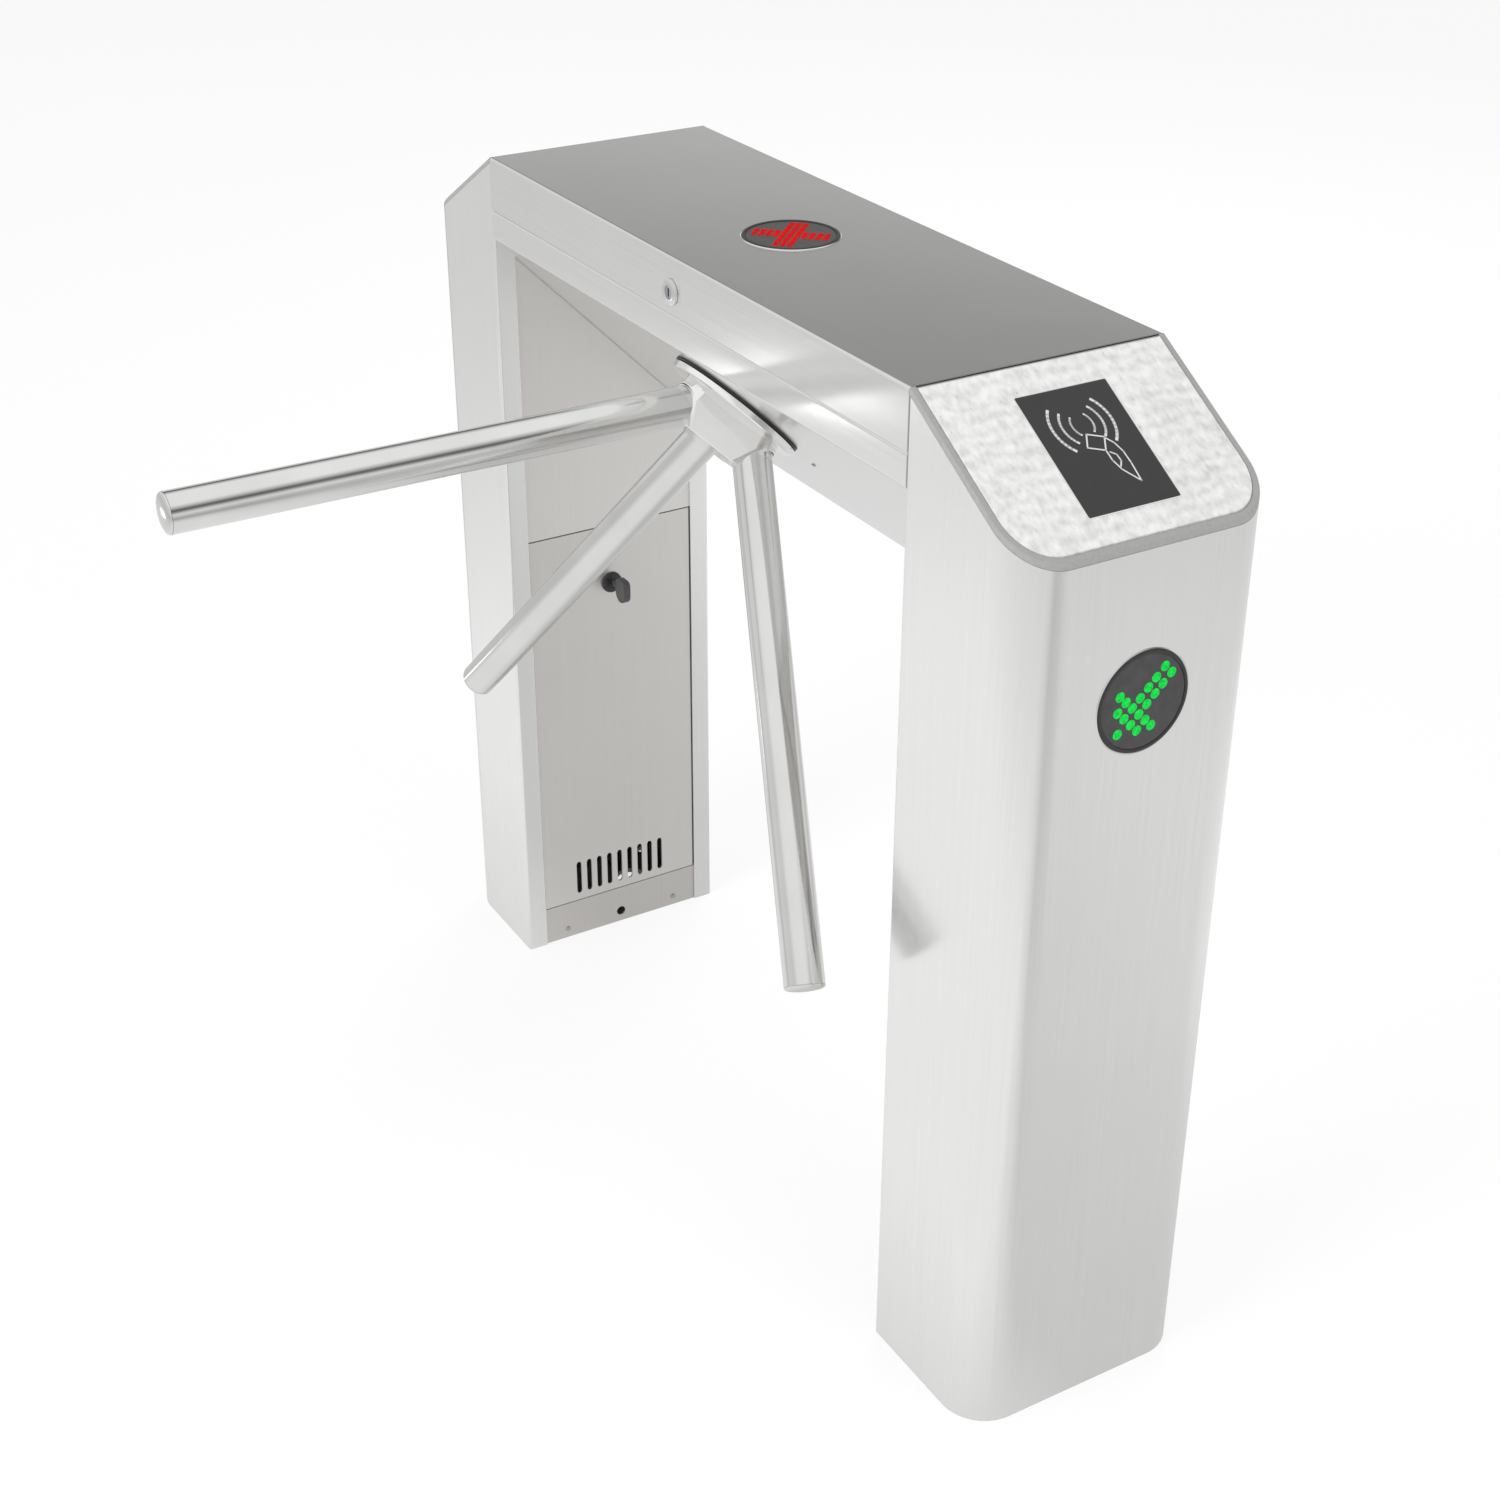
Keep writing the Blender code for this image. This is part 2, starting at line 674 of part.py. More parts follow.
def cam_lock(name, finish, place, grip, cam_length, cam_width, cam_turn):
    """Cam lock in two pieces: a housing through the sheet, and a plug that carries the cam.

    `place` has its Z pointing out of the cabinet at the sheet's outer face, and `grip` is the
    distance from there to the cam. `cam_turn` turns the cam from the frame's X, in degrees.
    """
    bore = PLUG_RADIUS + FIT
    profile = [
        (bore, LOCK_HEAD),
        (LOCK_HEAD_RADIUS * 0.85, LOCK_HEAD),
        (LOCK_HEAD_RADIUS, LOCK_HEAD * 0.6),
        (LOCK_HEAD_RADIUS, FIT),
        (LOCK_RADIUS, FIT),
        (LOCK_RADIUS, FIT - grip),
        (bore, FIT - grip),
    ]
    housing = turned(name + "_housing", profile, finish, place, SMALL_SIDES)
    front = LOCK_HEAD - FIT
    back = -grip - CAM_THICKNESS
    profile = [(0.0, front), (PLUG_RADIUS, front), (PLUG_RADIUS, back), (0.0, back)]
    plug = turned(name + "_cam", profile, machined_steel(), place, SMALL_SIDES)
    outline = rectangle(0.0, -cam_width / 2, cam_length, cam_width / 2)
    blade = plate_mesh(name + "_blade", [outline], CAM_THICKNESS - FIT)
    turn = Matrix.Rotation(math.radians(cam_turn), 4, "Z") @ at(0, 0, back + FIT / 2)
    join(plug, add_object(name + "_blade", blade, None, place @ turn, CUTTERS))
    half_wide = KEYWAY_WIDTH / 2
    half_high = KEYWAY_HEIGHT / 2
    slot = box_mesh(
        name + "_keyway",
        (-half_wide, -half_high, LOCK_HEAD - KEYWAY_DEPTH),
        (half_wide, half_high, LOCK_HEAD * 2),
    )
    cut(plug, add_object(name + "_keyway", slot, None, place, CUTTERS))
    return housing, plug


def door_lock():
    """Black lock near the top of the door, its cam turned level, clear of the keeper."""
    place = frame_along((PANEL_X, 0.0, LOCK_Z), (-1, 0, 0), (0, 1, 0))
    grip = 2 * SHEET + FIT + 2 * RUNNING_GAP
    return cam_lock(
        "near_door_lock", black_plastic(), place, grip, DOOR_CAM_LENGTH, DOOR_CAM_WIDTH, 0.0
    )


def door_key():
    """Key left in the far door's lock: its moulded bow, and its blade inside the keyway."""
    place = frame_along((-PANEL_X, 0.0, LOCK_Z), (1, 0, 0), (0, 1, 0))
    side = KEY_BOW_WIDTH / 2
    top = KEY_BOW_HEIGHT / 2
    corner = KEY_BOW_CORNER
    bow = arc(side - corner, top - corner, corner, 0, 90, 3)
    bow += arc(corner - side, top - corner, corner, 90, 180, 3)
    bow += arc(0.0, side - top, side, 180, 360, 8)
    lift = LOCK_HEAD + KEY_REACH + side
    turn = Matrix(((0, 0, 1, 0), (0, 1, 0, 0), (-1, 0, 0, 0), (0, 0, 0, 1)))
    half = KEY_BOW_THICKNESS / 2
    key = plate("far_door_key", [bow], KEY_BOW_THICKNESS, black_plastic(), place @ at(-half, 0, lift) @ turn)
    half_wide = KEYWAY_WIDTH / 2 - FIT
    half_high = KEYWAY_HEIGHT / 2 - FIT
    inner = LOCK_HEAD - KEYWAY_DEPTH + FIT
    outer = lift - KEY_BOW_WIDTH / 4
    blade = box_mesh("key_blade", (-half_wide, -half_high, inner), (half_wide, half_high, outer))
    join(key, add_object("key_blade", blade, None, place, CUTTERS))
    return key


# Sloped reader end


def slope_frame(lift):
    """Shears a flat outline seen from above onto the near slope, `lift` above its face."""
    return Matrix(
        ((1, 0, 0, 0), (0, 1, 0, 0), (-SLOPE, 0, 1, HEIGHT + INNER_X * SLOPE + lift), (0, 0, 0, 1))
    )


def slope_plate_object(name, loops, top, thickness, finish, collection=None):
    """A plate in the slope's plane whose upper face lies `top` above the slope's face."""
    mesh = plate_mesh(name, loops, thickness)
    mesh.transform(slope_frame(top - thickness))
    return add_object(name, mesh, finish, None, collection)


def slope_rim():
    """Grey edge moulding on the cut of the leg, with a rebate that holds the face plate."""
    outer = leg_section(-RIM_OVERHANG, crest_inset=FIT)
    through = leg_section(RIM_BAND - RIM_OVERHANG + RIM_LIP, crest_inset=RIM_CREST_BAND + RIM_LIP)
    pocket = leg_section(RIM_BAND - RIM_OVERHANG, crest_inset=RIM_CREST_BAND)
    rim = slope_plate_object("near_slope_rim", [outer, through], 0.0, RIM_HEIGHT, grey_trim())
    depth = PLATE_THICKNESS + FIT
    cutter = slope_plate_object("rim_pocket", [pocket], RIM_HEIGHT, RIM_HEIGHT + depth, None, CUTTERS)
    return cut(rim, cutter)


def window_loop(grow):
    """The reader window's outline seen from above, grown by `grow` on each side."""
    run = math.cos(math.atan(SLOPE))
    x0 = INNER_X + WINDOW_FROM_CREST * run
    x1 = x0 + WINDOW_LENGTH * run
    half = WINDOW_WIDTH / 2
    return rounded_rectangle(x0 - grow, -half - grow, x1 + grow, half + grow, 0.0015 + max(grow, 0.0), 2)


def slope_plate():
    """Bright face plate that drops into the rim, with the opening for the reader window."""
    inset = RIM_BAND - RIM_OVERHANG + FIT
    outline = leg_section(inset, crest_inset=RIM_CREST_BAND + FIT)
    return slope_plate_object(
        "near_slope_plate", [outline, window_loop(FIT)], 0.0, PLATE_THICKNESS, bright_steel()
    )


def reader():
    """Card reader: a dark window flush with the face plate, on a flanged housing below it."""
    window = slope_plate_object(
        "near_reader", [window_loop(0.0)], 0.0, PLATE_THICKNESS + FIT + READER_FLANGE / 2, black_plastic()
    )
    top = -PLATE_THICKNESS - FIT
    flange = slope_plate_object(
        "reader_flange", [window_loop(WINDOW_LIP)], top, READER_FLANGE, None, CUTTERS
    )
    body = slope_plate_object(
        "reader_body", [window_loop(-WINDOW_LIP)], top - READER_FLANGE / 2, READER_DEPTH, None, CUTTERS
    )
    join(window, flange)
    return join(window, body)


# Indicators


def indicator_bezel(name, place):
    """Thin ring round a display, with a skirt that goes through the sheet."""
    body = INDICATOR_BODY_RADIUS
    seat = INDICATOR_RADIUS - INDICATOR_BEZEL
    skirt = body - INDICATOR_BEZEL * 0.6
    profile = [
        (INDICATOR_RADIUS - INDICATOR_BEZEL * 0.3, INDICATOR_PROUD),
        (INDICATOR_RADIUS, INDICATOR_PROUD * 0.5),
        (INDICATOR_RADIUS, FIT),
        (body, FIT),
        (body, -INDICATOR_DEPTH),
        (skirt, -INDICATOR_DEPTH),
        (skirt, FIT + INDICATOR_FLOOR),
        (seat, FIT + INDICATOR_FLOOR),
        (seat, INDICATOR_PROUD),
    ]
    return turned(name, profile, bright_steel(), place)


def indicator_lens(name, place):
    """Dark display window inside the bezel."""
    seat = INDICATOR_RADIUS - INDICATOR_BEZEL - FIT
    low = INDICATOR_FLOOR + 2 * FIT
    high = INDICATOR_PROUD - FIT
    return turned(name, [(0.0, high), (seat, high), (seat, low), (0.0, low)], black_plastic(), place)


# Bridge and lid


def bridge():
    """Beam between the legs: front strip, slanted underside, back wall, and a lip along each top edge."""
    bend = BEND_RADIUS
    top = LID_EDGE - SEAM / 2
    half = HALF_WIDTH
    slant = bend * math.tan(math.radians(22.5))
    steep = bend / math.tan(math.radians(22.5))
    path = [(-half + WALL_LIP, top)]
    path += arc(-half + bend, top - bend, bend, 90, 180, 2)
    path += arc(-half + bend, WALL_EDGE + slant, bend, 180, 225, 2)
    path += arc(half - bend, BACK_EDGE + steep, bend, 225, 360, 4)
    path += arc(half - bend, top - bend, bend, 0, 90, 2)
    path += [(half - WALL_LIP, top)]
    reach = INNER_X - FIT
    shell = sheet(
        "bridge_shell",
        [(-reach, y, z) for y, z in path],
        (2 * reach, 0.0, 0.0),
        (0.0, 0.03, 0.85),
        steel(),
    )
    return drill(shell, SHELL_HOLE_RADIUS, MECH, 4 * SHEET)


def lid():
    """Hinged top cover: a shallow tray upside down, with the display hole and the lock hole."""
    bend = BEND_RADIUS
    low = LID_EDGE + SEAM / 2
    half = HALF_WIDTH
    path = [(-half, low)]
    path += arc(-half + bend, HEIGHT - bend, bend, 180, 90, 2)
    path += arc(half - bend, HEIGHT - bend, bend, 90, 0, 2)
    path += [(half, low)]
    reach = INNER_X - FIT
    cover = sheet(
        "lid",
        [(-reach, y, z) for y, z in path],
        (2 * reach, 0.0, 0.0),
        (0.0, 0.0, LID_EDGE),
        steel(),
    )
    inner = half - SHEET / 2
    for name, sign in (("near", 1), ("far", -1)):
        xs = sorted((sign * reach, sign * (reach - SHEET)))
        end = box_mesh("lid_end_" + name, (xs[0], -inner, low), (xs[1], inner, HEIGHT - SHEET / 2))
        join(cover, add_object("lid_end_" + name, end, None, None, CUTTERS))
    drill(cover, INDICATOR_BODY_RADIUS + FIT, at(0, 0, HEIGHT), 3 * SHEET)
    drill(cover, LOCK_RADIUS + FIT, lid_lock_place(), 3 * SHEET, SMALL_SIDES)
    return settle_on_axis(cover, (0.0, HINGE_Y, HINGE_Z))


def lid_lock_place():
    return frame_along((0.0, -HALF_WIDTH, LID_EDGE + LID_LOCK_RISE), (0, -1, 0))


def lid_lock():
    """Chromed lock in the middle of the lid's front flange, its cam hanging straight down."""
    return cam_lock(
        "lid_lock",
        bright_steel(),
        lid_lock_place(),
        LID_CAM_GRIP,
        LID_CAM_LENGTH,
        LID_CAM_WIDTH,
        -90.0,
    )


def lid_keeper():
    """Hooked post on the mechanism plate, for the lid lock's cam to turn under."""
    middle = -HALF_WIDTH + LID_CAM_GRIP + CAM_THICKNESS / 2
    near = middle - LID_KEEPER_DEPTH / 2
    tooth_low = LID_EDGE + LID_LOCK_RISE + LID_CAM_WIDTH / 2 + LID_KEEPER_GAP
    post_x = LID_CAM_LENGTH + 2 * LID_KEEPER_GAP + LID_KEEPER_BAR / 2
    inside = (MECH_PLATE_IN + LID_KEEPER_GAP / 2) / HALF_ROOT
    foot = HUB_Z + HUB_Y - near + inside
    outline = [
        (post_x, foot),
        (post_x + LID_KEEPER_BAR, foot),
        (post_x + LID_KEEPER_BAR, tooth_low + LID_KEEPER_BAR),
        (LID_CAM_LENGTH * 0.6, tooth_low + LID_KEEPER_BAR),
        (LID_CAM_LENGTH * 0.6, tooth_low),
        (post_x, tooth_low),
    ]
    turn = Matrix(((1, 0, 0, 0), (0, 0, -1, near + LID_KEEPER_DEPTH), (0, 1, 0, 0), (0, 0, 0, 1)))
    return plate("lid_keeper", [outline], LID_KEEPER_DEPTH, None, turn, CUTTERS)


def hinge_half(name, moving):
    """One half of the lid's long hinge: a leaf and its knuckles, and the pin on the fixed half."""
    pitch = HINGE_LENGTH / HINGE_KNUCKLES
    leaf_in = HALF_WIDTH + FIT
    gap = HINGE_GAP / 2
    if moving:
        z0, z1 = HINGE_Z + gap, HINGE_Z + HINGE_LEAF_HEIGHT
    else:
        z0, z1 = HINGE_Z - HINGE_LEAF_HEIGHT, HINGE_Z - gap
    leaf = box(
        name,
        (-HINGE_LENGTH / 2, leaf_in, z0),
        (HINGE_LENGTH / 2, leaf_in + HINGE_LEAF, z1),
        machined_steel(),
    )
    for i in range(HINGE_KNUCKLES):
        start = -HINGE_LENGTH / 2 + i * pitch
        place = frame_along((start, HINGE_Y, HINGE_Z), (1, 0, 0), (0, 1, 0))
        low, high = gap, pitch - gap
        if (i % 2 == 1) == moving:
            barrel = cylinder_mesh("knuckle", HINGE_KNUCKLE_RADIUS, low, high, 12)
            join(leaf, add_object("knuckle", barrel, None, place, CUTTERS))
        else:
            clear = cylinder_mesh("knuckle_gap", HINGE_KNUCKLE_RADIUS + HINGE_GAP, -gap, pitch + gap, 12)
            cut(leaf, add_object("knuckle_gap", clear, None, place, CUTTERS))
    place = frame_along((0, HINGE_Y, HINGE_Z), (1, 0, 0), (0, 1, 0))
    if moving:
        drill(leaf, HINGE_PIN_RADIUS + PIN_CLEARANCE, place, HINGE_LENGTH, 12)
        return settle_on_axis(leaf, (0.0, HINGE_Y, HINGE_Z))
    half = HINGE_LENGTH / 2 - HINGE_GAP
    pin = cylinder_mesh("lid_hinge_pin", HINGE_PIN_RADIUS, -half, half, 12)
    return join(leaf, add_object("lid_hinge_pin", pin, None, place, CUTTERS))


# Tripod


def arm_direction(index):
    """Direction of an arm in the hub's frame: the first lies level, square to the cabinet."""
    turn = math.radians(120 * index)
    outward = Vector((math.sin(turn), -math.cos(turn), 0.0))
    return math.cos(ARM_ANGLE) * Vector((0, 0, -1)) + math.sin(ARM_ANGLE) * outward


def arm_frame(index):
    """Frame at the arms' common point with its Z along one arm."""
    direction = MECH.to_3x3() @ arm_direction(index)
    return frame_along(APEX, direction, MECH.to_3x3() @ Vector((0.1, 0.2, 1.0)))


def hub():
    """Cast hub: three flat sides drawn tight round its corners, each corner relieved for an arm."""
    bm = bmesh.new()
    base = HUB_BACK - HUB_FLANGE / 2
    front = hub_front()
    front_radius = HUB_CORNER_RADIUS + (HUB_CORNER_REACH - HUB_FRONT_REACH) / 2
    for index in range(3):
        turn = math.radians(120 * index)
        corner = Vector((math.sin(turn), -math.cos(turn), 0.0))
        low = at(0, 0, base) @ Matrix.Translation(corner * HUB_CORNER_REACH)
        high = at(0, 0, front) @ Matrix.Translation(corner * HUB_FRONT_REACH)
        bmesh.ops.create_circle(bm, segments=ROUND_SIDES, radius=HUB_CORNER_RADIUS, matrix=low)
        bmesh.ops.create_circle(bm, segments=ROUND_SIDES, radius=front_radius, matrix=high)
    made = bmesh.ops.convex_hull(bm, input=bm.verts)
    spare = made["geom_interior"] + made["geom_unused"]
    inner_verts = {item for item in spare if isinstance(item, bmesh.types.BMVert)}
    bmesh.ops.delete(bm, geom=list(inner_verts), context="VERTS")
    bmesh.ops.recalc_face_normals(bm, faces=bm.faces)
    body = add_object("hub", mesh_from(bm, "hub"), bright_steel(), MECH)
    chamfer = HUB_FLANGE * 0.2
    flange = turned(
        "hub_flange",
        [
            (0.0, HUB_BACK),
            (HUB_FLANGE_RADIUS, HUB_BACK),
            (HUB_FLANGE_RADIUS, HUB_BACK - HUB_FLANGE + chamfer),
            (HUB_FLANGE_RADIUS - chamfer, HUB_BACK - HUB_FLANGE),
            (0.0, HUB_BACK - HUB_FLANGE),
        ],
        None,
        MECH,
        32,
        CUTTERS,
    )
    join(body, flange)
    for index in range(3):
        relief = cylinder_mesh("socket_relief", ARM_RADIUS + SOCKET_RELIEF, SOCKET_FACE, 2 * SOCKET_FACE)
        cut(body, add_object("socket_relief", relief, None, arm_frame(index), CUTTERS))
        low = SOCKET_FACE - SOCKET_DEPTH
        bore = cylinder_mesh("socket_bore", ARM_RADIUS + FIT, low, SOCKET_FACE + SOCKET_DEPTH)
        cut(body, add_object("socket_bore", bore, None, arm_frame(index), CUTTERS))
    bore = cylinder_mesh("shaft_bore", SHAFT_RADIUS + FIT, HUB_BACK - SHAFT_IN_HUB - FIT, 0.0)
    cut(body, add_object("shaft_bore", bore, None, MECH, CUTTERS))
    hole = cylinder_mesh("bolt_hole", BOLT_RADIUS + FIT, front - 0.01, HUB_BACK, 12)
    cut(body, add_object("bolt_hole", hole, None, MECH, CUTTERS))
    head = front + BOLT_HEAD + FIT
    recess = cylinder_mesh("bolt_recess", BOLT_HEAD_RADIUS + FIT, front - 0.01, head, SMALL_SIDES)
    return cut(body, add_object("bolt_recess", recess, None, MECH, CUTTERS))


def hub_front():
    """Where the hub's front face lies along w."""
    reach = SOCKET_FACE * math.cos(ARM_ANGLE) + SOCKET_RADIUS * math.sin(ARM_ANGLE)
    return APEX_DEPTH - reach


def hub_bolt():
    """Cap screw that draws the hub onto the shaft."""
    front = hub_front()
    head = front + BOLT_HEAD
    tip = HUB_BACK - SHAFT_IN_HUB + BOLT_THREAD
    above = front - BOLT_HEAD * 0.1
    hex_mesh = cylinder_mesh("bolt_socket", BOLT_RADIUS * 0.8, above, front + BOLT_HEAD * 0.6, 6)
    bolt = turned(
        "hub_bolt",
        [
            (0.0, tip - FIT),
            (BOLT_RADIUS, tip - FIT),
            (BOLT_RADIUS, head),
            (BOLT_HEAD_RADIUS, head),
            (BOLT_HEAD_RADIUS, front + FIT),
            (0.0, front + FIT),
        ],
        machined_steel(),
        MECH,
        SMALL_SIDES,
    )
    return cut(bolt, add_object("bolt_socket", hex_mesh, None, MECH, CUTTERS))


def arm(name, index):
    """Straight arm tube, open at both ends."""
    start = SOCKET_FACE - SOCKET_DEPTH + FIT
    end = ARM_REACH - ARM_CAP_DOME - FIT
    inner = ARM_RADIUS - ARM_WALL
    profile = [(ARM_RADIUS, end), (ARM_RADIUS, start), (inner, start), (inner, end)]
    return turned(name, profile, bright_steel(), arm_frame(index))


def arm_cap(name, index):
    """Shallow domed end cap with a plug that goes into the tube."""
    end = ARM_REACH
    foot = end - ARM_CAP_DOME
    plug = ARM_RADIUS - ARM_WALL - FIT
    profile = [
        (0.0, end),
        (ARM_RADIUS * 0.6, end - ARM_CAP_DOME * 0.12),
        (ARM_RADIUS * 0.88, end - ARM_CAP_DOME * 0.38),
        (ARM_RADIUS, foot),
        (plug, foot),
        (plug - ARM_CAP_TAPER, foot - ARM_CAP_PLUG),
        (0.0, foot - ARM_CAP_PLUG),
    ]
    return turned(name, profile, bright_steel(), arm_frame(index))


def collar():
    """Black ring on the slanted face behind the hub."""
    inner = SHAFT_RADIUS * 1.4
    profile = [
        (COLLAR_RADIUS, -FIT),
        (COLLAR_RADIUS, COLLAR_OUT),
        (inner, COLLAR_OUT),
        (inner, -FIT),
    ]
    return turned("hub_collar", profile, black_plastic(), MECH, 32)


def shaft():
    """Main shaft, from inside the hub through both bearings to the damper gear."""
    chamfer = SHAFT_RADIUS * 0.1
    start = HUB_BACK - SHAFT_IN_HUB
    profile = [
        (0.0, SHAFT_OUT),
        (SHAFT_RADIUS - chamfer, SHAFT_OUT),
        (SHAFT_RADIUS, SHAFT_OUT - chamfer),
        (SHAFT_RADIUS, start),
        (BOLT_RADIUS + FIT, start),
        (BOLT_RADIUS + FIT, start + BOLT_THREAD + FIT),
        (0.0, start + BOLT_THREAD + FIT),
    ]
    return turned("main_shaft", profile, machined_steel(), MECH)


# Mechanism inside the bridge


def pawl_pivot(sign):
    """Where a pawl turns, in the u, v plane."""
    return (-PAWL_PIVOT_OUT, sign * PAWL_PIVOT_SIDE)


def mechanism_plate():
    """Thick plate behind the slanted face that carries the bearings, damper, pawls and solenoids."""
    outline = rounded_rectangle(-MECH_PLATE_LONG, -MECH_PLATE_UP, MECH_PLATE_SHORT, MECH_PLATE_DOWN, 0.012)
    hole = circle(0.0, 0.0, BEARING_RADIUS, ROUND_SIDES)
    place = MECH @ at(0, 0, MECH_PLATE_IN)
    base = plate("mechanism_plate", [outline, hole], MECH_PLATE, machined_steel(), place)
    root = MECH_PLATE_IN + MECH_PLATE / 2
    for sign in (-1, 1):
        u, v = pawl_pivot(sign)
        pin = cylinder_mesh("pawl_pin", PAWL_PIN_RADIUS, root, DISC_OUT + FIT, 12)
        join(base, add_object("pawl_pin", pin, None, MECH @ at(u, v, 0), CUTTERS))
        post = cylinder_mesh("pawl_post", PAWL_EYE_RADIUS * 0.8, root, DISC_IN - FIT, 12)
        join(base, add_object("pawl_post", post, None, MECH @ at(u, v, 0), CUTTERS))
    return join(base, lid_keeper())


def bearing_housing():
    """Turned housing with a bearing seat at each end and a shoulder between them."""
    seat = BEARING_RADIUS + FIT
    neck = BEARING_RADIUS - BEARING_SHOULDER
    front_end = FRONT_BEARING + BEARING_WIDTH + FIT
    rear_start = REAR_BEARING - FIT
    profile = [
        (HOUSING_RADIUS, HOUSING_OUT),
        (HOUSING_RADIUS, HOUSING_IN + HOUSING_FLANGE),
        (HOUSING_FLANGE_RADIUS, HOUSING_IN + HOUSING_FLANGE),
        (HOUSING_FLANGE_RADIUS, HOUSING_IN),
        (seat, HOUSING_IN),
        (seat, front_end),
        (neck, front_end),
        (neck, rear_start),
        (seat, rear_start),
        (seat, HOUSING_OUT),
    ]
    return turned("bearing_housing", profile, machined_steel(), MECH)


def bearing(name, start):
    """Ball bearing drawn as one ring with its face grooves."""
    inner = SHAFT_RADIUS + FIT
    end = start + BEARING_WIDTH
    middle = (inner + BEARING_RADIUS) / 2
    groove = (BEARING_RADIUS - inner) * 0.2
    depth = BEARING_WIDTH * 0.1
    profile = [
        (middle + groove, end),
        (BEARING_RADIUS, end),
        (BEARING_RADIUS, start),
        (middle + groove, start),
        (middle + groove, start + depth),
        (middle - groove, start + depth),
        (middle - groove, start),
        (inner, start),
        (inner, end),
        (middle - groove, end),
        (middle - groove, end - depth),
        (middle + groove, end - depth),
    ]
    return turned(name, profile, bright_steel(), MECH)


def locking_disc():
    """Disc with three broad notches, one facing the pawls whenever an arm lies level."""
    half = math.degrees(math.asin(NOTCH_WIDTH / 2 / DISC_RADIUS))
    outline = []
    for index in range(3):
        middle = 180 + 120 * index
        turn = math.radians(middle)
        floor = DISC_RADIUS - NOTCH_DEPTH
        along = Vector((math.cos(turn), math.sin(turn)))
        across = Vector((-math.sin(turn), math.cos(turn))) * NOTCH_WIDTH / 2
        outline += [tuple(floor * along - across), tuple(floor * along + across)]
        outline += arc(0, 0, DISC_RADIUS, middle + half, middle + 120 - half, 9)
    place = MECH @ at(0, 0, DISC_IN)
    disc = plate("locking_disc", [outline], DISC_THICKNESS, machined_steel(), place)
    boss = cylinder_mesh("disc_boss", DISC_BOSS_RADIUS, DISC_IN - DISC_BOSS, DISC_IN + FIT)
    join(disc, add_object("disc_boss", boss, None, MECH, CUTTERS))
    return drill(disc, SHAFT_RADIUS + FIT, place, 4 * DISC_THICKNESS)


def gear_outline(teeth, pitch_radius, phase):
    """Gear outline with straight-sided teeth, each from its root to its tip."""
    half_pitch = GEAR_MODULE * math.pi / 4
    tip = pitch_radius + GEAR_MODULE * 0.9
    root = pitch_radius - GEAR_MODULE * 1.2
    points = []
    slack = GEAR_BACKLASH / 2
    widths = ((root, half_pitch * 1.5 - slack), (tip, half_pitch * 0.6 - slack))
    for index in range(teeth):
        middle = phase + 2 * math.pi * index / teeth
        sides = [(radius, -half / radius) for radius, half in widths]
        sides += [(radius, half / radius) for radius, half in reversed(widths)]
        for radius, offset in sides:
            points.append((radius * math.cos(middle + offset), radius * math.sin(middle + offset)))
    return points


def drive_gear():
    """Gear on the end of the shaft that turns the damper."""
    outline = gear_outline(GEAR_TEETH, GEAR_PITCH, 0.0)
    place = MECH @ at(0, 0, GEAR_IN)
    gear = plate("drive_gear", [outline], GEAR_THICKNESS, machined_steel(), place)
    spacer = cylinder_mesh("gear_spacer", DISC_BOSS_RADIUS, DISC_OUT + FIT, GEAR_IN + FIT)
    join(gear, add_object("gear_spacer", spacer, None, MECH, CUTTERS))
    return drill(gear, SHAFT_RADIUS + FIT, place, 4 * GEAR_THICKNESS)


def damper():
    """Closed rotary damper that slows the arms, standing on the mechanism plate."""
    top = DAMPER_OUT - FIT
    profile = [
        (0.0, top),
        (DAMPER_NECK_RADIUS, top),
        (DAMPER_NECK_RADIUS, top - 0.004),
        (DAMPER_RADIUS * 0.94, top - 0.004),
        (DAMPER_RADIUS, top - 0.006),
        (DAMPER_RADIUS, HOUSING_IN),
        (0.0, HOUSING_IN),
    ]
    return turned("damper_body", profile, black_plastic(), MECH @ at(PINION_U, 0, 0))


def damper_pinion():
    """Small gear on the damper's shaft."""
    phase = math.pi + math.pi / PINION_TEETH
    outline = gear_outline(PINION_TEETH, PINION_PITCH, phase)
    place = MECH @ at(PINION_U, 0, 0)
    pinion = plate("damper_pinion", [outline], GEAR_THICKNESS, machined_steel(), place @ at(0, 0, GEAR_IN))
    spindle = cylinder_mesh("pinion_shaft", PINION_SHAFT_RADIUS, DAMPER_OUT, GEAR_OUT + 0.003, 12)
    return join(pinion, add_object("pinion_shaft", spindle, None, place, CUTTERS))


def pawl_nose_u():
    """How far out the pawl's nose stands while it is released."""
    return -(DISC_RADIUS + PAWL_STANDOFF)


